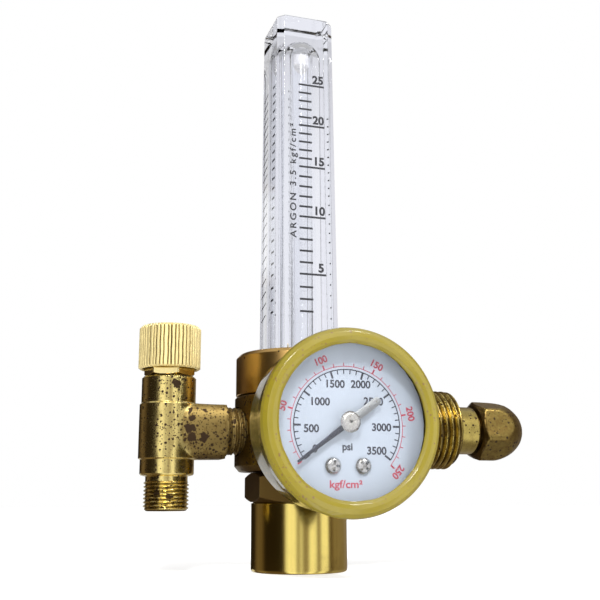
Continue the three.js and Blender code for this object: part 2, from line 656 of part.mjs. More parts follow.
function addGauge() {
  const gauge = new THREE.Group();
  gauge.position.set(0, 0, GAUGE_Z);
  gauge.rotation.set(Math.PI / 2, 0, 0);
  regulator.add(gauge);
  piece(gauge, 'gauge_socket', gaugeSocket(), BRASS);
  piece(gauge, 'gauge_case', gaugeCase(), PAINT);
  piece(gauge, 'gauge_bezel', gaugeBezel(), PAINT);
  piece(gauge, 'lens_gasket', sleeve(20.2, 21.3, CASE_MOUTH + GAP, 40.8, MEDIUM), RUBBER);
  piece(gauge, 'gauge_lens', bar(21.4, 41.1, 42.2), ACRYLIC);
  const dialHoles = [[0, 0, 1.6], [-DIAL_SCREW_X, DIAL_SCREW_Y, 1.25], [DIAL_SCREW_X, DIAL_SCREW_Y, 1.25]];
  piece(gauge, 'gauge_dial', prism(polygon(FINE, 20.4), DIAL_FACE - 0.6, DIAL_FACE, dialHoles), WHITE);
  piece(gauge, 'dial_screw_left', dialScrew(-1), NICKEL);
  piece(gauge, 'dial_screw_right', dialScrew(1), NICKEL);
  piece(gauge, 'bourdon_tube', bourdonTube(), BRASS);
  const plug = prism([[-1.2, -1.6], [1.2, -1.6], [1.2, 1.2], [-1.2, 1.2]], 27.2, 31.2);
  piece(gauge, 'bourdon_tip', plug, BRASS).position.set(TUBE_TIP[0], TUBE_TIP[1] - 1.8, 0);
  piece(gauge, 'movement_link', link(), BRASS);
  piece(gauge, 'movement_back_plate', plate(30.6, 31.3, PLATE_HOLES), BRASS);
  const screwHoles = dialHoles.slice(1);
  piece(gauge, 'movement_front_plate', plate(34.4, 35.2, [...PLATE_HOLES, ...screwHoles]), BRASS);
  PILLARS.forEach(([x, y], i) => {
    piece(gauge, `movement_pillar_${i + 1}`, bar(0.9, 31.6, 34.1, COARSE), BRASS).position.set(x, y, 0);
  });
  piece(gauge, 'sector_gear', sectorGear(), BRASS).position.set(0, SECTOR_PIVOT_Y, 0);
  piece(gauge, 'pointer_pinion', pointerPinion(), BRASS);
  piece(gauge, 'pointer', pointer(), STEEL);
  const cap = [[0, 40], [1, 40], [1, 40.5], [0, 40.5]];
  piece(gauge, 'pointer_hub', cut(bar(2.6, 40.05, 40.8, MEDIUM), turned(cap, COARSE)), NICKEL);
}

addSpringStack();
addBody();
addFlowTube();
addValve();
addInlet();
addGauge();

export default regulator;
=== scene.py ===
"""A brass gas regulator: its finished pieces, its studio and its camera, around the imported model."""

import math

import bmesh
import bpy
import numpy as np
from bpy.props import FloatProperty, FloatVectorProperty, IntProperty, PointerProperty
from bpy.types import Operator, Panel, PropertyGroup
from mathutils import Matrix, Vector


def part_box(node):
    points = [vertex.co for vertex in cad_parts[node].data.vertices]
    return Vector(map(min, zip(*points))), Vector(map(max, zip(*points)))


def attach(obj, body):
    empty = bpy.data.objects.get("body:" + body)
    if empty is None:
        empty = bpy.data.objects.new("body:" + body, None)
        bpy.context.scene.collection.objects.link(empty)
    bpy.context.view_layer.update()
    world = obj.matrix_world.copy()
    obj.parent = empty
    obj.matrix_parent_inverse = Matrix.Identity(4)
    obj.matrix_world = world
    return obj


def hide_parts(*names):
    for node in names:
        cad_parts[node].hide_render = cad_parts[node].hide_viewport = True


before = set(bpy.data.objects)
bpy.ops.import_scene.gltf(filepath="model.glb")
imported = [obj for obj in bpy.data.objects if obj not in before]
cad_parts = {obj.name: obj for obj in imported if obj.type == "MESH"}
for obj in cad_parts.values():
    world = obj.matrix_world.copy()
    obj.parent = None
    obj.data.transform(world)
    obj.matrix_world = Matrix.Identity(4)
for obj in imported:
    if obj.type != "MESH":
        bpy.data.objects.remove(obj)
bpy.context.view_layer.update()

bl_info = {
    "name": "Gas Regulator",
    "version": (1, 0, 0),
    "blender": (4, 5, 0),
    "location": "View3D > Sidebar > Regulator",
    "description": "Builds a brass gas regulator with a flow tube, a contents gauge and an outlet valve",
    "category": "Add Mesh",
}

MM = 0.001  # profiles are written in millimetres and built in metres
SHARP = math.radians(32)  # edges steeper than this stay crisp


def middle(node):
    """The middle of a CAD node's box, in metres."""
    low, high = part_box(node)
    return (low + high) / 2


def spin(degrees, axis="Z"):
    """A turn about an axis."""
    return Matrix.Rotation(math.radians(degrees), 4, axis)


# Each group of pieces is drawn about its own axis, its own +Z along that axis.
UPRIGHT = Matrix.Identity(4)
VALVE = Matrix.Translation((middle("valve_stem").x, 0, 0))
INLET = Matrix.Translation((0, 0, middle("inlet_nut").z)) @ spin(90, "Y")
GAUGE = Matrix.Translation((0, 0, middle("gauge_lens").z)) @ spin(90, "X")

WRENCH_FLATS = 27  # across the hexagons of the bonnet's collar and the inlet nut
OUTLET_PITCH = 1.0  # screw threads
PORT_PITCH = 1.337
INLET_PITCH = 1.814
BLOCK_R = 18.0  # body block
UPPER_R = 17.75
UPPER_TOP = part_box("upper_block")[1].z / MM
COVER_FOOT = UPPER_TOP + 0.3
COVER_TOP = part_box("flow_cover")[1].z / MM
COVER_BASE_HALF = 9.5
COVER_TOP_HALF = 8.7
VALVE_PORT = 37.5  # height of the outlet valve's side boss
DIAL_FACE = -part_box("gauge_dial")[0].y / MM  # distance of the dial's face in front of the body's axis
ZERO_ANGLE = 126  # degrees anticlockwise from straight up


# ---------------------------------------------------------------- settings


def length(name, description, value):
    """A length setting, its value in millimetres."""
    return FloatProperty(name=name, description=description, default=value * MM, subtype="DISTANCE",
                         unit="LENGTH")


class RegulatorSizes(PropertyGroup):
    """Sizes of the fine detail."""

    knurl_ridges: IntProperty(name="Knurl ridges", description="Ridges round the knob", default=50, min=8)
    knurl_depth: length("Knurl depth", "How deep the knob's grooves are", 0.6)
    edge_round: length("Edge rounding", "Radius on the edges of turned pieces", 0.25)
    forging: length("Forged unevenness", "How far the valve's forged skin wanders", 0.05)
    ink: length("Ink thickness", "Thickness of printed marks", 0.02)


def colour(name, description, value):
    """A colour setting."""
    return FloatVectorProperty(name=name, description=description, default=value, subtype="COLOR",
                               min=0, max=1)


class RegulatorColours(PropertyGroup):
    """Colours of the finishes, in linear light."""

    brass: colour("Brass", "Clean turned brass", (0.80, 0.63, 0.18))
    amber_brass: colour("Amber brass", "Lacquered brass with an amber cast", (0.68, 0.43, 0.14))
    pale_brass: colour("Pale brass", "Bright knurled brass", (0.86, 0.71, 0.33))
    # Tarnish, darkened, is also the painted shade in the bottoms of grooves.
    tarnish: colour("Tarnish", "Brown film on old brass", (0.17, 0.105, 0.03))
    stain: colour("Stain", "Nearly black spots on old brass", (0.042, 0.023, 0.010))
    paint: colour("Paint", "Olive-gold paint of the gauge", (0.24, 0.19, 0.012))
    dial: colour("Dial", "Bluish white of the dial", (0.335, 0.38, 0.445))
    ink: colour("Ink", "Dark print", (0.012, 0.014, 0.03))
    red_ink: colour("Red ink", "Red print", (0.42, 0.012, 0.045))
    acrylic: colour("Acrylic", "Clear plastic", (0.975, 0.98, 0.99))


def dimmed(shown, share):
    """A colour made darker."""
    return tuple(c * share for c in shown)


def sizes():
    """The scene's size settings."""
    return bpy.context.scene.regulator_sizes


def colours():
    """The scene's colour settings."""
    return bpy.context.scene.regulator_colours


# ---------------------------------------------------------------- mesh making


def finish_mesh(mesh):
    """Turns the faces outwards and shades them smooth, with crisp edges where they are steep."""
    work = bmesh.new()
    work.from_mesh(mesh)
    bmesh.ops.remove_doubles(work, verts=work.verts, dist=1e-7)
    bmesh.ops.recalc_face_normals(work, faces=work.faces)
    work.to_mesh(mesh)
    work.free()
    mesh.polygons.foreach_set("use_smooth", [True] * len(mesh.polygons))
    mesh.set_sharp_from_angle(angle=SHARP)


def add_object(name, data, place=UPRIGHT):
    """An object put into the scene."""
    obj = bpy.data.objects.new(name, data)
    bpy.context.scene.collection.objects.link(obj)
    obj.matrix_world = place
    return obj


def new_object(name, points, faces, place=UPRIGHT):
    """An object from points in millimetres in its own frame."""
    mesh = bpy.data.meshes.new(name)
    mesh.from_pydata([tuple(np.asarray(p, float) * MM) for p in points], [], faces)
    finish_mesh(mesh)
    return add_object(name, mesh, place)


def rounded(outline, radius, steps=3, loop=False):
    """The outline with its corners rounded by radius, or by as much as their sides leave room for."""
    points = [np.array(p, float) for p in outline]
    out = []
    for i, corner in enumerate(points):
        if not loop and i in (0, len(points) - 1):
            out.append(corner)
            continue
        before, after = points[i - 1], points[(i + 1) % len(points)]
        back, ahead = before - corner, after - corner
        room = min(np.linalg.norm(back), np.linalg.norm(ahead)) * 0.45
        back, ahead = back / np.linalg.norm(back), ahead / np.linalg.norm(ahead)
        angle = math.acos(float(np.clip(back @ ahead, -1, 1)))
        if angle > math.radians(172):
            out.append(corner)
            continue
        reach = min(radius / math.tan(angle / 2), room)
        for k in range(steps + 1):
            t = k / steps
            out.append(corner + reach * ((1 - t) ** 2 * back + t**2 * ahead))
    return [tuple(p) for p in out]


def filled(profile, step, foot, top):
    """The profile with points no further apart than step between two heights."""
    out = [profile[0]]
    for (r0, z0), (r1, z1) in zip(profile, profile[1:]):
        inside = min(z0, z1) < top and max(z0, z1) > foot
        count = max(1, math.ceil(math.hypot(r1 - r0, z1 - z0) / step)) if inside else 1
        out += [(r0 + (r1 - r0) * k / count, z0 + (z1 - z0) * k / count) for k in range(1, count + 1)]
    return out


def turned(name, profile, sides=120, reshape=(), ring=False, place=UPRIGHT):
    """A piece turned about its own Z from (radius, height) points. Each reshape(radii, height, angles)
    returns the radii round the piece at that height."""
    angles = np.linspace(0, 2 * math.pi, sides, endpoint=False)
    points, rows, faces = [], [], []
    for radius, height in profile:
        if radius < 1e-6:
            rows.append([len(points)] * sides)
            points.append((0, 0, height))
            continue
        radii = np.full(sides, radius)
        for change in reshape:
            radii = change(radii, height, angles)
        rows.append(list(range(len(points), len(points) + sides)))
        points += [(r * math.cos(a), r * math.sin(a), height) for r, a in zip(radii, angles)]
    pairs = list(zip(rows, rows[1:] + rows[:1])) if ring else list(zip(rows, rows[1:]))
    for low, high in pairs:
        for i in range(sides):
            j = (i + 1) % sides
            face = list(dict.fromkeys([low[i], low[j], high[j], high[i]]))
            if len(face) > 2:
                faces.append(face)
    return new_object(name, points, faces, place)


def hexagonal(across, corner, foot, top):
    """A reshape that cuts six flats between two heights. corner is the angle of one corner, in degrees."""

    def reshape(radii, height, angles):
        if not foot < height < top:
            return radii
        off = (np.degrees(angles) - corner) % 60 - 30
        return np.minimum(radii, across / 2 / np.cos(np.radians(off)))

    return reshape


def threaded(depth, pitch, foot, top):
    """A reshape that cuts a helical thread between two heights, fading in and out over half a turn."""

    def reshape(radii, height, angles):
        if not foot < height < top:
            return radii
        phase = ((height - foot) / pitch - angles / (2 * math.pi)) % 1
        groove = np.clip((np.abs(phase - 0.5) * 2 - 0.12) / 0.76, 0, 1)
        fade = min(1, (height - foot) / pitch * 2, (top - height) / pitch * 2)
        return radii - depth * groove * fade

    return reshape


def uneven(depth, foot, top, seed, waves=(3, 5, 8, 13)):
    """A reshape that lets a surface wander in and out a little between two heights."""
    picks = np.random.default_rng(seed)
    parts = [(n, picks.uniform(0, 6.28), picks.uniform(0, 6.28), picks.uniform(0.15, 0.6)) for n in waves]

    def reshape(radii, height, angles):
        if not foot < height < top:
            return radii
        wander = sum(np.sin(n * angles + a + height * k) * math.cos(height * k + b) for n, a, b, k in parts)
        return radii + depth * wander / len(parts)

    return reshape


def prism(name, outline, foot, top, place=UPRIGHT, bevel=0.0):
    """A flat plate of an outline, with its edges bevelled."""
    count = len(outline)
    points = [(x, y, z) for z in (foot, top) for x, y in outline]
    sides = [(i, (i + 1) % count, count + (i + 1) % count, count + i) for i in range(count)]
    obj = new_object(name, points, [tuple(range(count)), tuple(range(count, 2 * count)), *sides], place)
    if bevel:
        modifier = obj.modifiers.new("edges", "BEVEL")
        modifier.width = bevel * MM
        modifier.segments = 2
        modifier.limit_method = "ANGLE"
        apply_modifiers(obj)
    return obj


def loft(name, outlines, place=UPRIGHT):
    """A solid through outlines of equal count, from foot to top, each a list of (x, y, z)."""
    count = len(outlines[0])
    points = [p for outline in outlines for p in outline]
    faces = [tuple(range(count)), tuple(range(len(points) - count, len(points)))]
    for row in range(len(outlines) - 1):
        for i in range(count):
            a, b = row * count + i, row * count + (i + 1) % count
            faces.append((a, b, b + count, a + count))
    return new_object(name, points, faces, place)


def apply_modifiers(obj):
    """Makes the object's modifiers part of its mesh."""
    bpy.context.view_layer.update()
    shaped = bpy.data.meshes.new_from_object(obj.evaluated_get(bpy.context.evaluated_depsgraph_get()))
    obj.modifiers.clear()
    obj.data = shaped
    finish_mesh(shaped)


def combine(obj, others, operation):
    """Joins others to obj or cuts them out of it, and removes them."""
    for other in others:
        modifier = obj.modifiers.new("combine", "BOOLEAN")
        modifier.operation = operation
        modifier.solver = "EXACT"
        modifier.object = other
    apply_modifiers(obj)
    for other in others:
        bpy.data.objects.remove(other)
    return obj


def bar(radius, foot, top, place=UPRIGHT, sides=64):
    """A plain round bar to join or cut with."""
    return turned("bar", [(0, foot), (radius, foot), (radius, top), (0, top)], sides, place=place)


def fit(obj, material, body, slot, *replaced):
    """Gives a piece its finish, sets it on a body and lets it stand for CAD nodes."""
    obj.data.materials.clear()
    obj.data.materials.append(material)
    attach(obj, body)
    if replaced:
        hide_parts(*replaced)
    return obj


# ---------------------------------------------------------------- shader making


class Shading:
    """Short calls that add nodes to a tree."""

    def __init__(self, tree):
        self.tree = tree

    def node(self, kind, inputs=None, **settings):
        """A node with its inputs set or linked."""
        made = self.tree.nodes.new(kind)
        for key, value in settings.items():
            setattr(made, key, value)
        self.fill(made, inputs or {})
        return made

    def fill(self, node, inputs):
        """Sets or links several inputs of a node."""
        for key, value in inputs.items():
            self.feed(node.inputs[key], value)

    def feed(self, socket, value):
        """Links a socket to another, or sets its value."""
        if isinstance(value, bpy.types.NodeSocket):
            self.tree.links.new(value, socket)
        elif socket.type == "RGBA" and len(value) == 3:
            socket.default_value = (*value, 1)
        else:
            socket.default_value = value

    def math(self, operation, *values):
        """One step of arithmetic."""
        return self.node("ShaderNodeMath", dict(enumerate(values)), operation=operation).outputs[0]

    def times(self, first, second):
        """A product."""
        return self.math("MULTIPLY", first, second)

    def plus(self, first, second):
        """A sum."""
        return self.math("ADD", first, second)

    def minus(self, first, second):
        """A difference."""
        return self.math("SUBTRACT", first, second)

    def spread(self, value, low, high, start=0.0, end=1.0):
        """value between low and high, stretched to start and end."""
        inputs = {"Value": value, "From Min": low, "From Max": high, "To Min": start, "To Max": end}
        return self.node("ShaderNodeMapRange", inputs, interpolation_type="SMOOTHSTEP").outputs[0]

    def blend(self, share, first, second):
        """A mix of two colours."""
        inputs = {0: share, 6: first, 7: second}
        return self.node("ShaderNodeMix", inputs, data_type="RGBA").outputs[2]

    def noise(self, vector, scale, detail=4.0, roughness=0.55, distortion=0.0):
        """Cloudy noise from 0 to 1."""
        inputs = {"Vector": vector, "Scale": scale, "Detail": detail, "Roughness": roughness,
                  "Distortion": distortion}
        return self.node("ShaderNodeTexNoise", inputs).outputs[0]

    def between(self, vector, foot, top):
        """A mask that is 1 between two heights, in millimetres."""
        height = self.math("DIVIDE", self.node("ShaderNodeSeparateXYZ", {0: vector}).outputs[2], MM)
        return self.times(self.spread(height, foot - 0.2, foot + 0.2),
                         self.spread(height, top + 0.2, top - 0.2))

    def reach(self, vector):
        """Distance from the piece's own Z."""
        flat = self.node("ShaderNodeVectorMath", {0: vector, 1: (1, 1, 0)}, operation="MULTIPLY").outputs[0]
        return self.node("ShaderNodeVectorMath", {0: flat}, operation="LENGTH").outputs["Value"]

    def bump(self, height, distance, strength=1.0):
        """A normal from a height map."""
        inputs = {"Height": height, "Distance": distance, "Strength": strength}
        return self.node("ShaderNodeBump", inputs).outputs[0]

    def group(self, effect, inputs):
        """An instance of a shared effect."""
        made = self.tree.nodes.new("ShaderNodeGroup")
        made.node_tree = effect
        self.fill(made, inputs)
        return made.outputs[0]


def effect(name, inputs):
    """An empty node group with a vector input, the number inputs named, and one output, Mask."""
    tree = bpy.data.node_groups.new(name, "ShaderNodeTree")
    tree.interface.new_socket(name="Vector", in_out="INPUT", socket_type="NodeSocketVector")
    for key, value in inputs.items():
        socket = tree.interface.new_socket(name=key, in_out="INPUT", socket_type="NodeSocketFloat")
        socket.default_value = value
    tree.interface.new_socket(name="Mask", in_out="OUTPUT", socket_type="NodeSocketFloat")
    shade = Shading(tree)
    return shade, shade.node("NodeGroupInput").outputs, shade.node("NodeGroupOutput").inputs["Mask"]


def shared(name, build):
    """The effect of that name, built the first time it is asked for."""
    return bpy.data.node_groups.get(name) or build(name)


def cloud_effect(name="Cloudy film"):
    """A soft patchy film. Cover says how much of the surface it takes."""
    shade, inner, out = effect(name, {"Scale": 100, "Cover": 0.5, "Softness": 0.2})
    cloud = shade.noise(inner["Vector"], inner["Scale"], 7, 0.62, 0.4)
    middle_value = shade.minus(1.0, inner["Cover"])
    low = shade.minus(middle_value, inner["Softness"])
    high = shade.plus(middle_value, inner["Softness"])
    shade.feed(out, shade.spread(cloud, low, high))
    return shade.tree


def turning_effect(name="Turning lines"):
    """Fine rings that a lathe tool leaves, round the piece's own Z."""
    shade, inner, out = effect(name, {"Scale": 4000})
    height = shade.node("ShaderNodeSeparateXYZ", {0: inner["Vector"]}).outputs[2]
    across = shade.node("ShaderNodeCombineXYZ", {0: shade.reach(inner["Vector"]), 2: height}).outputs[0]
    shade.feed(out, shade.noise(across, inner["Scale"], 3, 0.7))
    return shade.tree


def spot_effect(name="Dark spots"):
    """Scattered ragged spots, large and small. Cover runs from none at 0 to many at 1."""
    shade, inner, out = effect(name, {"Scale": 300, "Cover": 0.5})
    ragged = shade.noise(inner["Vector"], shade.times(inner["Scale"], 3.0), 4, 0.6)
    places = shade.noise(inner["Vector"], shade.times(inner["Scale"], 0.3), 3)
    cover = shade.plus(inner["Cover"], shade.times(shade.minus(places, 0.5), 1.6))
    spots = 0.0
    for share, reach, more in ((0.8, 0.36, -0.14), (2.9, 0.34, 0.2), (6.5, 0.36, 0.12)):
        scale = shade.times(inner["Scale"], share)
        inputs = {"Vector": inner["Vector"], "Scale": scale, "Randomness": 1.0}
        cells = shade.node("ShaderNodeTexVoronoi", inputs).outputs
        pick = shade.node("ShaderNodeSeparateColor", {0: cells["Color"]}).outputs[0]
        over = shade.minus(shade.plus(cover, more), pick)
        size = shade.math("MINIMUM", shade.times(over, 1.5), reach)
        wander = shade.times(shade.minus(ragged, 0.5), 0.7)
        inside = shade.minus(size, shade.plus(cells["Distance"], wander))
        spots = shade.math("MAXIMUM", spots, shade.spread(inside, 0.0, 0.05))
    shade.feed(out, spots)
    return shade.tree


def wear_effect(name="Edge wear"):
    """Where the surface turns sharply, broken up by noise."""
    shade, inner, out = effect(name, {"Reach": 0.0003})
    soft = shade.node("ShaderNodeBevel", {"Radius": inner["Reach"]}, samples=4).outputs[0]
    true = shade.node("ShaderNodeNewGeometry").outputs["Normal"]
    turn = shade.node("ShaderNodeVectorMath", {0: soft, 1: true}, operation="DOT_PRODUCT").outputs["Value"]
    edge = shade.spread(turn, 0.97, 0.80)
    broken = shade.spread(shade.noise(inner["Vector"], 900, 4), 0.35, 0.6)
    shade.feed(out, shade.times(edge, broken))
    return shade.tree


def material(name):
    """A new material, its shading helper, its Principled node and the piece's own coordinates."""
    made = bpy.data.materials.new(name)
    made.use_nodes = True
    shade = Shading(made.node_tree)
    surface = made.node_tree.nodes["Principled BSDF"]
    vector = shade.node("ShaderNodeTexCoord").outputs["Object"]
    return made, shade, surface, vector


def brass(name, base, film=0.3, film_scale=90, spots=0.0, spot_scale=300, rough=(0.16, 0.42), lines=0.3,
          pitting=0.0, wear=0.5, zone=None, grooves=None, metallic=1.0):
    """Brass with a tarnish film, dark spots, tool rings, pits and bright edges, each as strong as asked.
    zone is (foot, top, film, roughness, spots): a stretch of height, in millimetres, with that much more of
    each. A sixth figure keeps it beyond that radius. grooves is (foot, top, dark radius, clean radius): a
    stretch whose groove bottoms get painted shade."""
    made, shade, surface, vector = material(name)
    tints = colours()
    within = shade.between(vector, *zone[:2]) if zone else 0.0
    if zone and len(zone) > 5:
        outside = shade.spread(shade.reach(vector), (zone[5] - 0.4) * MM, (zone[5] + 0.8) * MM)
        within = shade.times(within, outside)
    cover = shade.plus(film, shade.times(within, zone[2])) if zone else film
    cloudy = shade.group(shared("Cloudy film", cloud_effect),
                         {"Vector": vector, "Scale": film_scale, "Cover": cover, "Softness": 0.22})
    fine = shade.group(shared("Cloudy film", cloud_effect),
                       {"Vector": vector, "Scale": film_scale * 7, "Cover": 0.5, "Softness": 0.35})
    rings = shade.group(shared("Turning lines", turning_effect), {"Vector": vector, "Scale": 5200})
    edges = shade.group(shared("Edge wear", wear_effect), {"Vector": vector, "Reach": 0.0003})
    share = shade.times(cloudy, shade.spread(fine, 0, 1, 0.55, 1.0))
    if zone:
        share = shade.math("MAXIMUM", share, shade.times(within, 0.8 * zone[2]))
    shown = shade.blend(share, base, tints.tarnish)
    shown = shade.blend(shade.times(edges, wear), shown, tints.pale_brass)
    gloss = shade.plus(shade.times(share, 0.5), shade.times(rings, 0.3))
    if spots:
        more = shade.plus(spots, shade.times(within, zone[4])) if zone else spots
        places = {"Vector": vector, "Scale": spot_scale, "Cover": more}
        spotty = shade.group(shared("Dark spots", spot_effect), places)
        shown = shade.blend(spotty, shown, tints.stain)
        shade.feed(surface.inputs["Metallic"], shade.spread(spotty, 0, 1, metallic, 0.8 * metallic))
        gloss = shade.plus(gloss, spotty)
    else:
        surface.inputs["Metallic"].default_value = metallic
    if grooves:
        # Painted shade: the bottoms of the grooves get a darkened tarnish colour, standing in for the shadow
        # in them.
        groove_shade = shade.times(shade.between(vector, *grooves[:2]),
                          shade.spread(shade.reach(vector), grooves[3] * MM, grooves[2] * MM))
        shown = shade.blend(shade.times(groove_shade, 0.92), shown, dimmed(tints.tarnish, 0.6))
    shade.feed(surface.inputs["Base Color"], shown)
    rougher = shade.spread(gloss, 0, 1, *rough)
    if zone:
        rougher = shade.plus(rougher, shade.times(within, zone[3]))
    shade.feed(surface.inputs["Roughness"], rougher)
    normal = shade.bump(rings, 0.00001 * lines)
    if pitting:
        pits = shade.noise(vector, 900, 5, 0.6)
        inputs = {"Height": pits, "Distance": 0.0001 * pitting, "Strength": 1.0, "Normal": normal}
        normal = shade.node("ShaderNodeBump", inputs).outputs[0]
    shade.feed(surface.inputs["Normal"], normal)
    return made


def paint(name, base, chips=0.1):
    """Thick glossy paint with orange peel, soft patches of darker tone and small chips down to brass."""
    made, shade, surface, vector = material(name)
    tints = colours()
    peel = shade.noise(vector, 420, 3)
    patches = shade.group(shared("Cloudy film", cloud_effect),
                          {"Vector": vector, "Scale": 60, "Cover": 0.5, "Softness": 0.4})
    darker = dimmed(base, 0.8)
    shown = shade.blend(patches, darker, base)
    places = {"Vector": vector, "Scale": 420, "Cover": chips}
    chipped = shade.group(shared("Dark spots", spot_effect), places)
    shown = shade.blend(chipped, shown, tints.tarnish)
    shade.feed(surface.inputs["Base Color"], shown)
    shade.feed(surface.inputs["Roughness"], shade.spread(peel, 0, 1, 0.25, 0.45))
    surface.inputs["Specular IOR Level"].default_value = 0.25
    surface.inputs["Coat Weight"].default_value = 1.0
    surface.inputs["Coat Roughness"].default_value = 0.05
    shade.feed(surface.inputs["Normal"], shade.bump(peel, 0.00003))
    return made


def metal(name, base, rough=(0.15, 0.35), scratches=900, spots=0.15):
    """Plated or plain steel with scratches and faint spots."""
    made, shade, surface, vector = material(name)
    tints = colours()
    scuffs = shade.noise(vector, scratches, 5, 0.7)
    spotty = shade.group(shared("Dark spots", spot_effect), {"Vector": vector, "Scale": 700, "Cover": spots})
    shown = shade.blend(shade.times(spotty, 0.6), base, tints.tarnish)
    shade.feed(surface.inputs["Base Color"], shown)
    surface.inputs["Metallic"].default_value = 1
    shade.feed(surface.inputs["Roughness"], shade.spread(scuffs, 0.2, 0.8, *rough))
    shade.feed(surface.inputs["Normal"], shade.bump(scuffs, 0.00002))
    return made


def nickel_plate():
    """The finish that all the screws share."""
    return bpy.data.materials.get("nickel_plate") or metal("nickel_plate", (0.6, 0.59, 0.57), (0.12, 0.3))


def needle_finish():
    """Blued steel on the needle, fading to bare steel on the tail."""
    made = metal("pointer_steel", (0.3, 0.31, 0.31), (0.3, 0.5))
    shade = Shading(made.node_tree)
    surface = made.node_tree.nodes["Principled BSDF"]
    bare = surface.inputs["Base Color"].links[0].from_socket
    vector = shade.node("ShaderNodeTexCoord").outputs["Object"]
    along = shade.node("ShaderNodeSeparateXYZ", {0: vector}).outputs[1]
    blued = shade.blend(shade.spread(along, 0.0, 0.003), bare, (0.05, 0.055, 0.075))
    shade.feed(surface.inputs["Base Color"], blued)
    return made


def clear(name, roughness=0.0, waves=0.00002):
    """Clear moulded acrylic, very slightly wavy and dusty. Light passes it straight to what lies behind."""
    made, shade, surface, vector = material(name)
    ripple = shade.noise(vector, 60, 2)
    dust = shade.noise(vector, 2500, 4)
    surface.inputs["Base Color"].default_value = (*colours().acrylic, 1)
    surface.inputs["Transmission Weight"].default_value = 1
    surface.inputs["IOR"].default_value = 1.49
    shade.feed(surface.inputs["Roughness"], shade.spread(dust, 0.6, 0.85, roughness, roughness + 0.06))
    shade.feed(surface.inputs["Normal"], shade.bump(ripple, waves))
    path = shade.node("ShaderNodeLightPath").outputs
    lit = shade.math("MAXIMUM", path["Is Shadow Ray"], path["Is Diffuse Ray"])
    open_way = shade.node("ShaderNodeBsdfTransparent").outputs[0]
    mixed = shade.node("ShaderNodeMixShader", {0: lit, 1: surface.outputs[0], 2: open_way}).outputs[0]
    shade.feed(made.node_tree.nodes["Material Output"].inputs["Surface"], mixed)
    return made


def dull(name, base, rough=(0.5, 0.8), scale=700, depth=0.00003, sheen_change=0.8):
    """A plain non-metal finish whose colour, gloss and height vary a little."""
    made, shade, surface, vector = material(name)
    grain = shade.noise(vector, scale, 5)
    shown = shade.blend(grain, dimmed(base, sheen_change), base)
    shade.feed(surface.inputs["Base Color"], shown)
    shade.feed(surface.inputs["Roughness"], shade.spread(grain, 0.2, 0.8, *rough))
    shade.feed(surface.inputs["Normal"], shade.bump(grain, depth))
    return made


# ---------------------------------------------------------------- studio


def strip(shade, bearing, centre, half, soft):
    """A mask that is 1 within half of a compass bearing, in degrees, and fades over soft."""
    away = shade.math("ABSOLUTE", shade.minus(bearing, float(centre)))
    away = shade.math("MINIMUM", away, shade.minus(360.0, away))
    return shade.spread(away, float(half + soft), float(half - soft))


# Light strips round the object: bearing from the gauge side towards the inlet, half width, edge, strength.
STRIPS = ((-37, 13, 5, 0.95), (-13, 4, 3, 0.55), (15, 9, 4, 0.95), (46, 10, 5, 0.95), (4, 54, 8, 0.34),
          (112, 46, 10, 0.28), (-128, 16, 10, 0.16))


def make_world():
    """White to look at. What shines sees strips of light on a dark warm ground, and clear plastic a soft
    version of the same strips. Dull surfaces get most of their light from the front."""
    world = bpy.data.worlds.new("studio")
    bpy.context.scene.world = world
    world.use_nodes = True
    shade = Shading(world.node_tree)
    background = world.node_tree.nodes["Background"]
    looking = shade.node("ShaderNodeTexCoord").outputs["Generated"]
    way = shade.node("ShaderNodeSeparateXYZ", {0: looking}).outputs
    facing = shade.times(way[1], -1.0)
    bearing = shade.times(shade.math("ARCTAN2", way[0], facing), 180 / math.pi)
    strips = 0.0
    for centre, half, soft, strength in STRIPS:
        mask = strip(shade, bearing, centre, half, soft)
        strips = shade.plus(strips, shade.times(mask, strength))
    round_about = shade.node("ShaderNodeCombineXYZ", {0: bearing}).outputs[0]
    streaks = shade.spread(shade.noise(round_about, 0.35, 2, 0.7), 0.3, 0.65, 0.6, 1.15)
    strips = shade.times(strips, streaks)
    above = shade.spread(way[2], 0.5, 0.95, 0.0, 0.6)
    below = shade.spread(way[2], -0.05, -0.5, 0.0, 0.12)
    high = shade.times(shade.spread(way[2], 0.23, 0.26), shade.spread(way[2], 0.35, 0.32))
    low = shade.times(shade.spread(way[2], -0.14, -0.17), shade.spread(way[2], -0.33, -0.3))
    panels = shade.plus(high, low)
    panels = shade.times(panels, strip(shade, bearing, 180, 24, 4))
    light = shade.plus(shade.plus(0.022, above), shade.plus(strips, below))
    light = shade.plus(light, shade.times(panels, 0.8))
    warm = shade.blend(shade.spread(light, 0.03, 0.6), (0.85, 0.58, 0.36), (1.0, 1.0, 1.0))
    shiny = shade.node("ShaderNodeVectorMath", {0: warm, "Scale": light}, operation="SCALE").outputs[0]
    share = shade.spread(shade.plus(strips, above), 0.0, 0.9)
    through = shade.blend(share, (0.82, 0.83, 0.9), (1.0, 1.0, 1.02))
    clear_way = shade.spread(way[2], 0.3, 0.7, 1.0, 0.5)
    inputs = {0: through, "Scale": clear_way}
    through = shade.node("ShaderNodeVectorMath", inputs, operation="SCALE").outputs[0]
    front = shade.plus(shade.times(facing, 0.92), shade.times(way[0], 0.38))
    front = shade.spread(front, -0.6, 0.9, 0.2, 1.05)
    soft = shade.node("ShaderNodeCombineColor", {0: front, 1: front, 2: front}).outputs[0]
    path = shade.node("ShaderNodeLightPath").outputs
    seen = shade.blend(path["Is Transmission Ray"], shiny, through)
    seen = shade.blend(path["Is Diffuse Ray"], seen, soft)
    shade.feed(background.inputs["Color"], shade.blend(path["Is Camera Ray"], seen, (1.0, 1.0, 1.0)))
    background.inputs["Strength"].default_value = 1.0


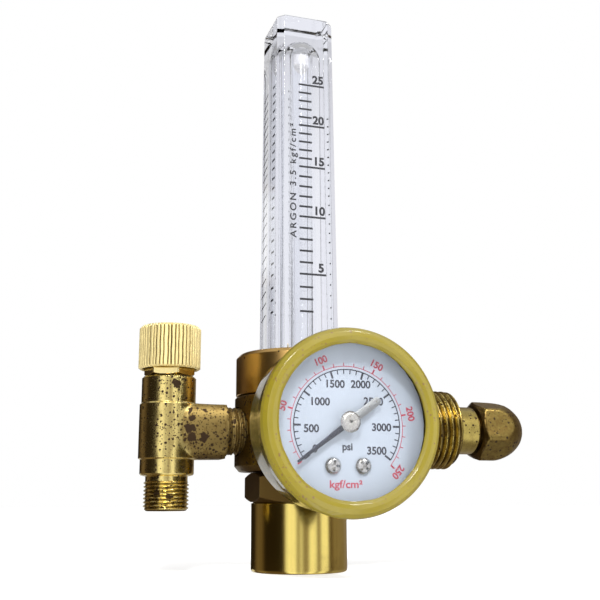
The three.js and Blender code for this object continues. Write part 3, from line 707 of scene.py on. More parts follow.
def make_lamp(name, place, aim, size, power):
    """A soft square lamp."""
    lamp = bpy.data.lights.new(name, "AREA")
    lamp.size = size
    lamp.energy = power
    obj = add_object(name, lamp)
    obj.location = place
    obj.rotation_euler = (Vector(aim) - Vector(place)).to_track_quat("-Z", "Y").to_euler()


FLOOR_GLOW = 0.62  # so that the paper meets the white behind it without a line


def make_floor():
    """A wide pale floor with the faint mottle of paper, which shiny and clear pieces don't see."""
    profile = [(0, -0.3), (2500, -0.3), (2500, -0.05), (0, -0.05)]
    floor = turned("floor", profile, 96)
    paper = dull("floor_paper", (0.9, 0.9, 0.9), (0.8, 0.95), 900, 0.00001, 0.985)
    surface = paper.node_tree.nodes["Principled BSDF"]
    surface.inputs["Emission Color"].default_value = (1, 1, 1, 1)
    surface.inputs["Emission Strength"].default_value = FLOOR_GLOW
    floor.data.materials.append(paper)
    floor.visible_glossy = False
    floor.visible_transmission = False


CAMERA_PLACE = (-0.0799, -0.2447, 0.0188)
CAMERA_AZIMUTH = -18.2  # degrees, seen a little from the outlet side
CAMERA_PITCH = 12.5  # degrees, looking up
CAMERA_ROLL = -0.2
CAMERA_LENS = 54.3


def make_camera():
    """The camera stands low and to the left, looking up at the gauge."""
    lens = bpy.data.cameras.new("camera")
    lens.lens = CAMERA_LENS
    turn = spin(CAMERA_AZIMUTH)
    tilt = spin(90 + CAMERA_PITCH, "X")
    roll = spin(CAMERA_ROLL)
    place = Matrix.Translation(CAMERA_PLACE) @ turn @ tilt @ roll
    bpy.context.scene.camera = add_object("camera", lens, place)


class MakeStudio(Operator):
    """Sets the camera, the lamps, the world and the floor"""

    bl_idname = "regulator.make_studio"
    bl_label = "Studio"

    def execute(self, context):
        context.scene.view_settings.view_transform = "Standard"
        make_camera()
        make_world()
        make_floor()
        make_lamp("key_lamp", (-0.2, -0.55, 0.5), (0, 0, 0.05), 0.14, 3.4)
        make_lamp("fill_lamp", (0.24, -0.4, 0.52), (0, 0, 0.07), 0.11, 2.2)
        return {"FINISHED"}


# ---------------------------------------------------------------- bonnet and blocks


class MakeBonnet(Operator):
    """The bonnet: a turned cup with a hexagon collar"""

    bl_idname = "regulator.make_bonnet"
    bl_label = "Bonnet"

    def execute(self, context):
        edge = sizes().edge_round / MM
        skin = [(0, 0), (12.6, 0), (13.05, 0.25), (13.2, 0.8), (13.2, 18.1), (12.7, 18.25), (12.7, 18.45),
                (13.35, 18.45), (15.6, 19.7), (15.6, 25.0), (13.4, 26.3), (11.7, 26.3), (11.7, 31.6),
                (9.6, 31.6), (9.6, 4), (0, 4)]
        profile = filled(rounded(skin, edge), 0.25, 18.5, 26.25)
        bonnet = turned("bonnet_finished", profile, 180, [hexagonal(WRENCH_FLATS, 30, 18.4, 26.35)])
        # The collar's band, 18.3 to 27 mm high, is made much darker and rougher than the cup.
        finish = brass("bonnet_brass", colours().brass, film=0.30, film_scale=45, rough=(0.15, 0.30),
                       lines=0.7, wear=0.35, zone=(18.3, 27, 1.25, 0.26, 0.0))
        fit(bonnet, finish, "regulator_body", "brass", "bonnet")
        return {"FINISHED"}


class MakeBlocks(Operator):
    """The body block with its three ports, and the upper block that holds the flow tube"""

    bl_idname = "regulator.make_blocks"
    bl_label = "Body and upper block"

    def execute(self, context):
        self.make_body()
        self.make_upper()
        return {"FINISHED"}

    def make_body(self):
        low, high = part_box("body_block")
        foot, top = low.z / MM, high.z / MM
        loop = [(12, foot), (BLOCK_R - 1.3, foot), (BLOCK_R, foot + 1.5), (BLOCK_R, top - 0.35),
                (BLOCK_R - 0.4, top), (8, top), (8, 46), (6.3, 46), (6.3, 40.6), (4.2, 40.6), (4.2, 36.2),
                (9.2, 36.2), (9.2, 33.9), (12, 33.9)]
        body = turned("body_block_finished", rounded(loop, 0.3, loop=True), 144, ring=True)
        ports = [
            bar(6.8, 13.6, 20, Matrix.Translation((0, 0, VALVE_PORT * MM)) @ spin(-90, "Y")),
            bar(6.9, 12.6, 20, INLET),
            bar(5.2, 13.1, 20, GAUGE),
        ]
        combine(body, ports, "DIFFERENCE")
        finish = brass("body_brass", dimmed(colours().brass, 0.4), film=0.68, film_scale=60,
                       spots=0.2, spot_scale=300, rough=(0.22, 0.45), lines=0.5, pitting=0.25, wear=0.5)
        fit(body, finish, "regulator_body", "dull_brass", "body_block")

    def make_upper(self):
        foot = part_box("body_block")[1].z / MM + 0.3
        skin = [(0, 47.5), (3.4, 47.5), (3.4, 43.2), (6, 43.2), (6, foot), (UPPER_R - 0.3, foot),
                (UPPER_R, foot + 0.3), (UPPER_R, UPPER_TOP - 1.1), (UPPER_R - 1.1, UPPER_TOP),
                (8.8, UPPER_TOP), (8.8, 51.2), (4.9, 51.2), (4.9, 49), (0, 49)]
        upper = turned("upper_block_finished", rounded(skin, 0.35), 144)
        finish = brass("upper_brass", colours().amber_brass, film=0.3, film_scale=40, rough=(0.28, 0.42),
                       lines=0.6, spots=0.03, wear=0.5)
        fit(upper, finish, "regulator_body", "polished_brass", "upper_block")


# ---------------------------------------------------------------- flow tube


def cover_half(height):
    """Half the cover's width at a height, in millimetres."""
    narrower = COVER_TOP_HALF - COVER_BASE_HALF
    return COVER_BASE_HALF + narrower * (height - COVER_FOOT) / (COVER_TOP - COVER_FOOT)


def cover_outline(height, inset=0.0):
    """The cover's square outline, with cut and slightly rounded corners."""
    half = cover_half(height) - inset
    cut = 2.0 * half / COVER_BASE_HALF
    quarter = [(half, half - cut), (half - cut, half)]
    corners = []
    for _ in range(4):
        corners += quarter
        quarter = [(-y, x) for x, y in quarter]
    return [(x, y, height) for x, y in rounded(corners, 0.45, 3, loop=True)]


class MakeFlowTube(Operator):
    """The clear square cover, the metering tube, the float and its stop"""

    bl_idname = "regulator.make_flow_tube"
    bl_label = "Flow tube"

    def execute(self, context):
        acrylic = clear("clear_acrylic")
        levels = [(COVER_FOOT, 0.25), (COVER_FOOT + 0.25, 0), (COVER_TOP - 1.6, 0), (COVER_TOP - 0.9, 0.15),
                  (COVER_TOP - 0.4, 0.5), (COVER_TOP - 0.1, 1.0), (COVER_TOP, 1.5)]
        cover = loft("flow_cover_finished", [cover_outline(z, inset) for z, inset in levels])
        spigot = turned("bar", [(0, 51.5), (8.5, 51.5), (8.5, 53.8), (7.3, 53.8), (7.3, 56.2), (8.5, 56.2),
                                (8.5, COVER_FOOT + 1), (0, COVER_FOOT + 1)], 96)
        combine(cover, [spigot], "UNION")
        dome = [(6 * math.cos(math.radians(a)), 150 + 6 * math.sin(math.radians(a)))
                for a in range(0, 90, 6)]
        combine(cover, [turned("bar", [(0, 50), (6, 50), *dome, (0, 156)], 96)], "DIFFERENCE")
        even = cover.modifiers.new("even_normals", "WEIGHTED_NORMAL")
        even.weight = 100
        even.keep_sharp = True
        fit(cover, acrylic, "regulator_body", "acrylic", "flow_cover")
        low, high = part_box("metering_tube")
        loop = [(3.2, low.z / MM), (4.9, low.z / MM), (4.9, high.z / MM), (4.2, high.z / MM)]
        tube = turned("metering_tube_finished", rounded(loop, 0.2, loop=True), 96, ring=True)
        fit(tube, acrylic, "regulator_body", "acrylic", "metering_tube")
        self.make_float()
        return {"FINISHED"}

    def make_float(self):
        centre = middle("float_ball")
        half = [(2.9 * math.sin(math.radians(a)), -2.9 * math.cos(math.radians(a)))
                for a in range(0, 181, 6)]
        half[0], half[-1] = (0, -2.9), (0, 2.9)
        ball = turned("float_ball_finished", half, 60, place=Matrix.Translation(centre))
        fit(ball, metal("float_steel", (0.55, 0.56, 0.58), (0.08, 0.2)), "float", "steel", "float_ball")
        skin = rounded([(0, 147), (2.6, 147), (3.6, 148), (3.6, 151.4), (0, 151.4)], 0.3)
        stop = turned("float_stop_finished", skin, 60, [uneven(0.1, 147.5, 151, 4)])
        fit(stop, dull("stop_rubber", (0.5, 0.5, 0.53)), "regulator_body", "rubber", "float_stop")


# ---------------------------------------------------------------- print


def letters(text, size, place, turn=0.0, narrow=1.0, weight=0.03, spacing=1.0):
    """The mesh of a line of text on the print's own plane, its middle at place. turn is in degrees, and
    weight is how much each stroke is fattened, as a share of size."""
    curve = bpy.data.curves.new("letters", "FONT")
    curve.body = text
    curve.size = size * MM
    curve.align_x = "CENTER"
    curve.align_y = "CENTER"
    curve.extrude = sizes().ink / 2
    curve.space_character = spacing
    curve.offset = size * weight * MM
    holder = add_object("letters", curve)
    bpy.context.view_layer.update()
    mesh = bpy.data.meshes.new_from_object(holder.evaluated_get(bpy.context.evaluated_depsgraph_get()))
    bpy.data.objects.remove(holder)
    move = Matrix.Translation((place[0] * MM, place[1] * MM, 0)) @ spin(turn)
    mesh.transform(move @ Matrix.Diagonal((narrow, 1, 1, 1)))
    return mesh


def stroke(outline):
    """The mesh of one inked shape, given as (x, y) points in millimetres."""
    half = sizes().ink / 2
    count = len(outline)
    points = [(x * MM, y * MM, z) for z in (-half, half) for x, y in outline]
    faces = [tuple(reversed(range(count))), tuple(range(count, 2 * count))]
    faces += [(i, (i + 1) % count, count + (i + 1) % count, count + i) for i in range(count)]
    mesh = bpy.data.meshes.new("stroke")
    mesh.from_pydata(points, [], faces)
    return mesh


def printed(name, meshes, place):
    """One piece of print from many meshes."""
    work = bmesh.new()
    for mesh in meshes:
        work.from_mesh(mesh)
        bpy.data.meshes.remove(mesh)
    whole = bpy.data.meshes.new(name)
    work.to_mesh(whole)
    work.free()
    return add_object(name, whole, place)


FLOW_MARKS = {25: 139.45, 20: 126.5, 15: 113.6, 10: 98.4, 5: 81.4}  # flow and its height on the cover
FLOW_LOWEST = {4: 77.6, 3: 74.1, 2: 70.6}


def flow_height(flow):
    """Height of a flow's mark: the marks are even between the long ones."""
    if flow in FLOW_LOWEST:
        return FLOW_LOWEST[flow]
    below = flow // 5 * 5
    if below == flow:
        return FLOW_MARKS[flow]
    return FLOW_MARKS[below] + (FLOW_MARKS[below + 5] - FLOW_MARKS[below]) * (flow - below) / 5


class PrintFlowScale(Operator):
    """The flow scale on the front of the cover, and a painted reflection of its marks on the outlet side"""

    bl_idname = "regulator.print_flow_scale"
    bl_label = "Flow scale"

    def execute(self, context):
        rise = COVER_TOP - COVER_FOOT
        lean = math.atan2(COVER_BASE_HALF - COVER_TOP_HALF, rise)
        # The print's plane lies just under the front face: x to the right and y up, from the cover's foot.
        place = Matrix.Translation((0, -COVER_BASE_HALF * MM + 2 * sizes().ink, COVER_FOOT * MM))
        place = place @ Matrix.Rotation(math.pi / 2 - lean, 4, "X")
        parts = []
        for flow in range(2, 26):
            y = flow_height(flow) - COVER_FOOT
            left, right, half = (-2.55, 5.4 if flow % 5 == 0 else 1.45, 0.3)
            parts.append(stroke([(left, y - half), (right, y - half), (right, y + half), (left, y + half)]))
            if flow % 5 == 0:
                parts.append(letters(str(flow), 3.5, (3.5 if flow > 5 else 3.9, y + 1.9), 0, 1.0, 0.042))
        parts.append(letters("ARGON 3.5 kgf/cm²", 2.6, (-4.3, 109.3 - COVER_FOOT), 90, 1.2, 0.02, 1.35))
        ink = dull("scale_ink", dimmed(colours().ink, 0.3), (0.8, 0.95))
        fit(printed("flow_scale", parts, place), ink, "regulator_body", "rubber")
        # Painted reflection: the front marks, seen reflected inside the clear cover on the outlet side, are
        # inked there as a slanted dash and a dot.
        reflected_marks = []
        for flow in range(2, 26):
            y = flow_height(flow) - COVER_FOOT
            reflected_marks.append(stroke([(-6, y - 1.1), (-1.6, y + 0.3), (-1.6, y + 0.75), (-6, y - 0.65)]))
            reflected_marks.append(stroke([(3.5, y - 0.3), (6.1, y - 0.3), (6.1, y + 0.3), (3.5, y + 0.3)]))
        quarter = spin(-90)
        fit(printed("flow_side_painted_reflection", reflected_marks, quarter @ place), ink, "regulator_body", "rubber")
        return {"FINISHED"}


# ---------------------------------------------------------------- outlet valve


def tee(half, reach, centre, foot, top, blend=30):
    """A reshape that grows a squarish boss towards +X, with a soft blend where it leaves the barrel. half is
    the boss's radius, reach its length from the axis and centre its height."""

    def reshape(radii, height, angles):
        if not foot < height < top:
            return radii
        wide = half * max(1 - abs((height - centre) / half) ** 3.4, 1e-6) ** (1 / 3.4)
        side = wide / np.maximum(np.abs(np.sin(angles)), 1e-6)
        boss = np.minimum(side, reach / np.maximum(np.cos(angles), 0.05))
        fade = np.clip((np.cos(angles) + 0.35) / 0.4, 0, 1)
        boss = boss * fade * fade * (3 - 2 * fade)
        return (radii**blend + boss**blend) ** (1 / blend)

    return reshape


class MakeValve(Operator):
    """The outlet valve's forged body and its packing nut"""

    bl_idname = "regulator.make_valve"
    bl_label = "Outlet valve"

    def execute(self, context):
        self.make_body()
        nut = [(2.8, 48.2), (4.6, 48.2), (4.6, 52.1), (6.2, 52.1), (6.93, 52.45), (6.93, 56.1), (6.4, 56.4),
               (2.8, 56.4)]
        nut = turned("packing_nut_finished", filled(rounded(nut, 0.15, loop=True), 0.3, 52, 56.5), 180,
                     [hexagonal(12, 41, 52.05, 56.45)], ring=True, place=VALVE)
        fit(nut, brass("nut_brass", colours().pale_brass, film=0.25, rough=(0.15, 0.35), wear=0.8),
            "regulator_body", "brass", "packing_nut")
        return {"FINISHED"}

    def make_body(self):
        rough = sizes().forging / MM
        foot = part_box("valve_body")[0].z / MM
        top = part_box("valve_body")[1].z / MM
        skin = [(0, 33), (1.2, 33), (2, 31), (2, 17.2), (2.5, foot), (5.2, foot), (6, foot + 0.7), (6, 23.6),
                (5.6, 23.9), (5.6, 25.2), (6.9, 25.5), (7.2, 25.9), (7.2, 29.6), (7.7, 29.9), (7.7, 44.2),
                (7.3, 44.6), (7.3, top - 0.5), (6.8, top), (4.9, top), (4.9, 46.5), (2.9, 46.5), (2.9, 35.5),
                (0, 35.5)]
        profile = filled(rounded(skin, 0.12), 0.5, 25.3, top - 0.2)
        profile = filled(profile, 0.09, foot + 0.5, 24)
        outside = tee(7.6, 15, 37.3, 29.75, 44.45)

        def skin_only(radii, height, angles):
            return outside(radii, height, angles) if radii[0] > 7 else radii

        reshape = [threaded(0.5, OUTLET_PITCH, foot + 0.3, 23.9), uneven(rough, 29.7, 44.5, 7), skin_only]
        barrel = turned("valve_body_finished", profile, 360, reshape, place=VALVE)
        boss = rounded([(0, 12), (7, 12), (7.25, 14.4), (7.25, 15.2), (6.3, 16.6), (6.5, 16.9), (6.5, 23),
                        (6, 23.4), (2, 23.4), (2, 14), (0, 14)], 0.12)
        boss = filled(boss, 0.12, 16.8, 23.1)
        turn = Matrix.Translation((0, 0, VALVE_PORT * MM)) @ spin(90, "Y")
        reshape = [threaded(0.75, PORT_PITCH, 16.9, 23.2), uneven(rough * 1.6, 12, 15.5, 11)]
        boss = turned("bar", boss, 120, reshape, place=VALVE @ turn)
        combine(barrel, [boss], "UNION")
        base = tuple(0.5 * (a + b) for a, b in zip(colours().brass, colours().pale_brass))
        # Painted shade: the roots of the outlet thread are darkened, standing in for the shadow in them.
        finish = brass("valve_brass", base, film=0.22, film_scale=80, spots=0.34, spot_scale=330,
                       rough=(0.2, 0.42), lines=0.5, pitting=0.35, wear=0.4,
                       zone=(29.7, 44.5, 1.05, 0.2, 0.34, 7.9), grooves=(10, 24, 5.4, 5.75))
        fit(barrel, finish, "regulator_body", "brass", "valve_body")


SIDES_PER_RIDGE = 14


def knurled(count, depth, foot, top, seed):
    """A reshape that cuts straight, slightly wandering grooves of uneven width and depth."""
    picks = np.random.default_rng(seed)
    deep = picks.uniform(0.55, 1.0, count)
    shift = picks.uniform(-0.16, 0.16, count)
    sway = picks.uniform(0, 6.28, count)

    def reshape(radii, height, angles):
        if not foot < height < top:
            return radii
        along = angles / (2 * math.pi) * count
        groove = np.floor(along).astype(int) % count
        wobble = 0.04 * np.sin(height * 1.1 + sway[groove]) + shift[groove]
        inside = np.abs(along - np.floor(along) - 0.5 - wobble)
        cut = np.clip(1 - inside / 0.25, 0, 1) * deep[groove]
        return radii - depth * cut

    return reshape


class MakeKnob(Operator):
    """The knurled knob and the screw on it"""

    bl_idname = "regulator.make_knob"
    bl_label = "Knob"

    def execute(self, context):
        foot, top = (corner.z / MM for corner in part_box("valve_knob"))
        skin = [(7.3, foot + 0.1), (7.9, foot), (8.4, foot + 0.35), (8.4, top - 0.7), (7.7, top), (3.5, top),
                (3.3, top - 0.15), (3.3, 64), (1.5, 64), (1.5, 63.2), (2.8, 63.2), (2.8, 57.3), (7.3, 57.3)]
        profile = filled(rounded(skin, 0.15, loop=True), 0.5, foot, top - 0.01)
        ridges = knurled(sizes().knurl_ridges, sizes().knurl_depth / MM, foot - 0.1, top - 0.25, 5)

        def outside_only(radii, height, angles):
            return ridges(radii, height, angles) if radii[0] > 7.5 else radii

        sides = sizes().knurl_ridges * SIDES_PER_RIDGE
        knob = turned("valve_knob_finished", profile, sides, [outside_only], ring=True, place=VALVE)
        # Painted shade: the bottoms of the knurl's grooves are darkened, standing in for the shadow between
        # the ridges.
        finish = brass("knob_brass", colours().pale_brass, film=0.2, film_scale=160,
                       rough=(0.34, 0.5), lines=0.2, pitting=0.3, wear=0.9,
                       grooves=(foot + 0.5, top - 0.5, 8.05, 8.33), metallic=0.55)
        fit(knob, finish, "valve_knob", "pale_brass", "valve_knob")
        screw = [(0, 58), (1.2, 58), (1.2, 64.3), (3, 64.3), (3, 65.2), (2.6, 65.5), (0, 65.5)]
        screw = turned("knob_screw_finished", rounded(screw, 0.12), 72, place=VALVE)
        slot = prism("bar", [(-4, -0.4), (4, -0.4), (4, 0.4), (-4, 0.4)], 64.8, 66, VALVE)
        combine(screw, [slot], "DIFFERENCE")
        fit(screw, nickel_plate(), "valve_knob", "nickel", "knob_screw")
        return {"FINISHED"}


# ---------------------------------------------------------------- inlet


class MakeInlet(Operator):
    """The cylinder nut with its coarse thread, and the nipple with its bull nose"""

    bl_idname = "regulator.make_inlet"
    bl_label = "Inlet"

    def execute(self, context):
        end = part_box("inlet_nut")[1].x / MM
        foot = end - 11.6
        loop = [(7.3, 24), (13.4, 24), (15.6, 25.2), (15.6, 32.2), (13.4, 33.5), (10.2, 33.5), (10.2, 34.6),
                (11.3, 35.4), (11.455, 35.6), (11.455, end - 0.9), (10.2, end), (7.9, end), (7.3, end - 0.6)]
        profile = filled(rounded(loop, 0.15, loop=True), 0.3, 24.05, 33.45)
        profile = filled(profile, 0.13, foot, end - 0.1)
        reshape = [hexagonal(WRENCH_FLATS, 0, 23.9, 33.6), self.outer_thread(foot, end)]
        nut = turned("inlet_nut_finished", profile, 180, reshape, ring=True, place=INLET)
        # Painted shade: the roots of the coarse thread are darkened, standing in for the shadow in them.
        finish = brass("inlet_brass", dimmed(colours().brass, 0.85), film=0.5, film_scale=90,
                       rough=(0.2, 0.42), lines=0.4, spots=0.2, wear=0.7, grooves=(35, end, 10.5, 11.1))
        fit(nut, finish, "inlet_nut", "brass", "inlet_nut")
        self.make_nipple()
        return {"FINISHED"}

    def outer_thread(self, foot, end):
        cut = threaded(1.05, INLET_PITCH, foot, end)

        def reshape(radii, height, angles):
            return cut(radii, height, angles) if radii[0] > 10.15 else radii

        return reshape

    def make_nipple(self):
        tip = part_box("inlet_nipple")[1].x / MM
        dome_foot = 59.5
        dome = [(9 * math.cos(math.radians(a)), dome_foot + (tip - dome_foot) * math.sin(math.radians(a)))
                for a in range(4, 76, 4)]
        skin = [(0, 20.6), (2.7, 20.6), (2.7, 12.9), (6, 12.9), (6.58, 13.5), (6.58, 18.8), (8.4, 18.9),
                (9.8, 19.7), (9.8, 22.2), (8.4, 23), (7, 23.1), (7, 53.7), (5.9, 53.9), (5.9, 54.6),
                (7.4, 54.7), (9.0, 56.1), (9.0, dome_foot), *dome, (1.75, tip), (1.5, tip - 0.4), (1.5, 22),
                (0, 22)]
        profile = filled(rounded(skin, 0.15), 0.3, 19, 23)
        profile = filled(profile, 0.4, 54.4, 60)
        flats = [hexagonal(17, 0, 18.85, 23.05), hexagonal(16, -72, 54.8, 71)]
        reshape = [*flats, uneven(0.06, 55, 70, 9)]
        nipple = turned("inlet_nipple_finished", profile, 180, reshape, place=INLET)
        # Painted shade: the undercut behind the nose is darkened, standing in for the shadow in the gap.
        finish = brass("nose_brass", dimmed(colours().brass, 0.6), film=0.4, film_scale=110,
                       spots=0.05, spot_scale=300, rough=(0.2, 0.42), lines=0.3, pitting=0.5, wear=0.6,
                       zone=(54.3, 80, 0.3, 0.0, 0.1), grooves=(53.8, 55.7, 8.3, 8.9))
        fit(nipple, finish, "regulator_body", "dull_brass", "inlet_nipple")


# ---------------------------------------------------------------- gauge


class MakeGaugeHousing(Operator):
    """The painted case and its rolled bezel, and the lens"""

    bl_idname = "regulator.make_gauge_housing"
    bl_label = "Gauge housing"

    def execute(self, context):
        coat = paint("gauge_paint", colours().paint)
        back = -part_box("gauge_case")[1].y / MM
        mouth = -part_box("gauge_case")[0].y / MM
        loop = [(5.3, back), (19.4, back), (20.9, back + 0.5), (21.6, back + 2), (21.6, mouth),
                (20.8, mouth), (20.8, back + 2.2), (19.2, back + 1), (5.3, back + 1)]
        case = turned("gauge_case_finished", rounded(loop, 0.3, loop=True), 144, ring=True, place=GAUGE)
        # Painted shade: the case wears the gauge's olive paint dimmed to about a quarter, standing in for
        # the shade on its side, with more chips.
        shaded_coat = paint("shaded_case_paint", dimmed(colours().paint, 0.26), 0.35)
        fit(case, shaded_coat, "regulator_body", "gauge_paint", "gauge_case")
        front = -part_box("gauge_bezel")[0].y / MM
        roll = front - 3.1
        loop = [(21.9, 37.2), (22.45, 37.2), (22.45, roll - 0.15), (22.8, roll), (22.9, front - 2.2),
                (22.6, front - 1.1), (21.7, front - 0.25),
                (20.5, front), (19.5, front - 0.25), (18.9, front - 0.7), (18.65, front - 1.1), (21.9, 42.5)]
        bezel = turned("gauge_bezel_finished", rounded(loop, 0.35, 4, loop=True), 180,
                       [self.ragged], ring=True, place=GAUGE)
        fit(bezel, coat, "regulator_body", "gauge_paint", "gauge_bezel")
        # Painted shade: the bezel's skirt behind the roll takes the same dimmed paint as the case.
        bezel.data.materials.append(shaded_coat)
        for face in bezel.data.polygons:
            face.material_index = int(face.center.z < roll * MM)
        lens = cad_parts["gauge_lens"]
        dress(lens, clear("lens_clear", waves=0.000005))
        return {"FINISHED"}

    @staticmethod
    def ragged(radii, height, angles):
        """The rolled lip's inner edge wanders a little."""
        if radii[0] > 19.6:
            return radii
        wander = np.sin(5 * angles + 1) + np.sin(11 * angles + 2)
        wander = wander + 0.8 * np.sin(23 * angles) * np.sin(3 * angles)
        return radii + 0.045 * wander


SCALE_DROP = -0.8  # the print sits a little low on the dial
# Middles of the numbers, chosen so that they clear the marks.
DARK_NUMBERS = {0: (-8.4, -6.5), 500: (-9.3, -1.7), 1000: (-7.1, 4.8), 1500: (-3.2, 9.2), 2000: (3.6, 9.3),
                2500: (6.9, 5.2), 3000: (8.9, -1.1), 3500: (7.5, -6.8)}
BLACK_R = 13.75
RED_R = 14.55
DARK_STEP = 7.2  # degrees between marks: 100 psi
RED_STEP = 10.24  # degrees between marks: 10 kgf/cm²


def on_dial(radius, angle):
    """A point on the dial. angle is in degrees clockwise from straight up."""
    return (radius * math.sin(math.radians(angle)), radius * math.cos(math.radians(angle)) + SCALE_DROP)


def tick(inner, outer, width, angle):
    """A radial mark on the dial."""
    across = Vector(on_dial(1, angle + 90)) - Vector(on_dial(0, 0))
    across = across * (width / 2)
    low, high = Vector(on_dial(inner, angle)), Vector(on_dial(outer, angle))
    return stroke([low - across, high - across, high + across, low + across])


def arc(radius, width, start, end):
    """A curved line on the dial."""
    steps = 90
    angles = [start + (end - start) * k / steps for k in range(steps + 1)]
    outer = [on_dial(radius + width / 2, a) for a in angles]
    inner = [on_dial(radius - width / 2, a) for a in reversed(angles)]
    parts = []
    for k in range(steps):
        parts.append(stroke([outer[k], outer[k + 1], inner[steps - k - 1], inner[steps - k]]))
    return parts


class PrintDial(Operator):
    """The two scales of the dial, in dark and red ink"""

    bl_idname = "regulator.print_dial"
    bl_label = "Dial print"

    def execute(self, context):
        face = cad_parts["gauge_dial"]
        dress(face, dull("dial_white", colours().dial, (0.6, 0.8), 120, 0.000004, 0.97))
        lift = Matrix.Translation((0, 0, DIAL_FACE * MM + sizes().ink))
        dark = printed("dial_dark_print", self.dark_scale(), GAUGE @ lift)
        fit(dark, dull("dial_ink", colours().ink, (0.4, 0.6)), "regulator_body", "rubber")
        red = printed("dial_red_print", self.red_scale(), GAUGE @ lift)
        fit(red, dull("dial_red_ink", colours().red_ink, (0.4, 0.6)), "regulator_body", "gauge_paint")
        return {"FINISHED"}

    def dark_scale(self):
        parts = arc(BLACK_R, 0.26, -ZERO_ANGLE, ZERO_ANGLE)
        for step in range(36):
            angle = -ZERO_ANGLE + DARK_STEP * step
            long = step % 5 == 0
            parts.append(tick(BLACK_R - (1.8 if long else 1.1), BLACK_R, 0.5 if long else 0.26, angle))
        for number, centre in DARK_NUMBERS.items():
            parts.append(letters(str(number), 2.6, centre))
        parts.append(letters("psi", 2.5, (-0.1, -5.9)))
        return parts

    def red_scale(self):
        parts = arc(RED_R, 0.16, -ZERO_ANGLE, 130)
        for step in range(26):
            angle = -ZERO_ANGLE + RED_STEP * step
            long = step % 5 == 0
            parts.append(tick(RED_R, RED_R + (1.2 if long else 0.85), 0.4 if long else 0.2, angle))
            if long and step:
                parts.append(letters(str(step * 10), 2.4, on_dial(17.0, angle), -angle))
        parts.append(letters("kgf/cm²", 2.55, (-0.6, -14.8), 0, 1.13, 0.018))
        return parts


def dress(node, finish):
    """Gives a CAD node a better material."""
    if not node.material_slots:
        node.data.materials.append(finish)
    for place in node.material_slots:
        place.material = finish


class MakePointer(Operator):
    """The pointer, its hub and the two screws that hold the dial"""

    bl_idname = "regulator.make_pointer"
    bl_label = "Pointer and dial screws"

    def execute(self, context):
        turn = GAUGE @ spin(ZERO_ANGLE)
        tail = [(1.05 * math.cos(math.radians(-a)), -8.8 + 1.05 * math.sin(math.radians(-a)))
                for a in range(0, 181, 18)]
        outline = [(0.32, 16.4), (0.72, 2.4), (1.25, 1.6), (1.3, 0.4), (1.05, -1), *tail, (-1.05, -1),
                   (-1.3, 0.4), (-1.25, 1.6), (-0.72, 2.4), (-0.32, 16.4)]
        pointer = prism("pointer_finished", outline, 39.4, 39.75, turn, 0.12)
        fit(pointer, needle_finish(), "pointer", "steel", "pointer")
        hub = [(0, 40.5), (1, 40.5), (1, 40.05), (2.6, 40.05), (2.6, 40.2), (2.05, 40.66), (1.75, 40.76),
               (0.4, 40.8), (0.38, 40.5), (0, 40.5)]
        hub = turned("pointer_hub_finished", rounded(hub, 0.1), 96, place=GAUGE)
        finish = metal("hub_nickel", (0.62, 0.6, 0.56), (0.16, 0.34), spots=0.0)
        fit(hub, finish, "pointer", "nickel", "pointer_hub")
        for name, side in (("left", -1), ("right", 1)):
            self.make_screw(name, side)
        return {"FINISHED"}

    def make_screw(self, name, side):
        node = "dial_screw_" + name
        low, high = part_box(node)
        across = (low.x + high.x) / 2
        up = (low.z + high.z) / 2 - middle("gauge_lens").z
        place = GAUGE @ Matrix.Translation((across, up, 0))
        skin = [(0, 34.9), (0.95, 34.9), (0.95, 38.2), (2.05, 38.2), (2.05, 38.3), (1.55, 38.85),
                (1.2, 39.0), (0, 39.1)]
        screw = turned(node + "_finished", rounded(skin, 0.12), 60, place=place)
        turn = spin(20 + 25 * side)
        cross = [prism("bar", [(-1.45, -0.3), (1.45, -0.3), (1.45, 0.3), (-1.45, 0.3)], 37.8, 40,
                       place @ turn @ spin(a)) for a in (0, 90)]
        combine(screw, cross, "DIFFERENCE")
        fit(screw, nickel_plate(), "regulator_body", "nickel", node)


PILLARS = [f"movement_pillar_{number}" for number in (1, 2, 3)]


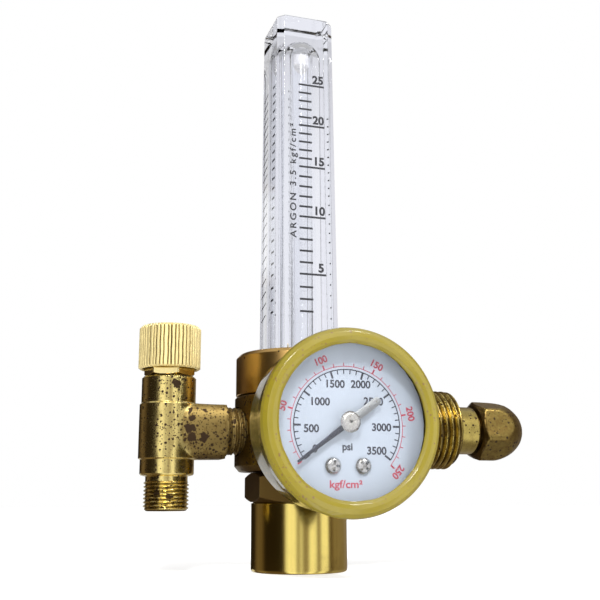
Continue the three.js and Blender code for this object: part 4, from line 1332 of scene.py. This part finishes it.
class DressInsides(Operator):
    """Finishes for the pieces that keep their CAD shape, most of them inside"""

    bl_idname = "regulator.dress_insides"
    bl_label = "Inner pieces"

    def execute(self, context):
        inner_brass = brass("inner_brass", colours().brass, film=0.2, rough=(0.2, 0.4), lines=0.5)
        fine_brass = brass("movement_brass", colours().pale_brass, film=0.15, rough=(0.18, 0.35), lines=0.2)
        spring_steel = metal("spring_steel", (0.42, 0.43, 0.45))
        rubber = dull("black_rubber", (0.03, 0.03, 0.03))
        groups = {
            inner_brass: ("preset_disc", "diaphragm_plate", "nozzle_seat", "tube_fitting", "gauge_socket"),
            fine_brass: ("bourdon_tube", "bourdon_tip", "movement_link", "movement_back_plate",
                         "movement_front_plate", *PILLARS, "sector_gear", "pointer_pinion"),
            spring_steel: ("main_spring", "slip_ring", "poppet", "poppet_spring", "valve_stem"),
            rubber: ("diaphragm", "block_seal", "tube_washer", "cover_seal", "lens_gasket"),
            dull("white_packing", (0.8, 0.79, 0.75)): ("valve_packing",),
            dull("sintered_bronze", (0.34, 0.2, 0.1), (0.6, 0.9), 2500, 0.0001, 0.5): ("inlet_filter",),
        }
        for finish, nodes in groups.items():
            for node in nodes:
                dress(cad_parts[node], finish)
        return {"FINISHED"}


# ---------------------------------------------------------------- add-on


STEPS = (MakeStudio, MakeBonnet, MakeBlocks, MakeFlowTube, PrintFlowScale, MakeValve, MakeKnob, MakeInlet,
         MakeGaugeHousing, PrintDial, MakePointer, DressInsides)


class RegulatorPanel(Panel):
    """Lists the steps that build the regulator"""

    bl_idname = "VIEW3D_PT_regulator"
    bl_label = "Gas Regulator"
    bl_space_type = "VIEW_3D"
    bl_region_type = "UI"
    bl_category = "Regulator"

    def draw(self, context):
        for step in STEPS:
            self.layout.operator(step.bl_idname)
        for group in (context.scene.regulator_sizes, context.scene.regulator_colours):
            for name in group.__annotations__:
                self.layout.prop(group, name)


CLASSES = (RegulatorSizes, RegulatorColours, *STEPS, RegulatorPanel)


def register():
    """Adds the classes and their settings."""
    for each in CLASSES:
        bpy.utils.register_class(each)
    bpy.types.Scene.regulator_sizes = PointerProperty(type=RegulatorSizes)
    bpy.types.Scene.regulator_colours = PointerProperty(type=RegulatorColours)


def unregister():
    """Takes the classes and their settings away."""
    del bpy.types.Scene.regulator_colours
    del bpy.types.Scene.regulator_sizes
    for each in reversed(CLASSES):
        bpy.utils.unregister_class(each)


def main():
    """Builds everything."""
    register()
    for step in STEPS:
        group, name = step.bl_idname.split(".")
        getattr(getattr(bpy.ops, group), name)()


if __name__ == "__main__":
    main()
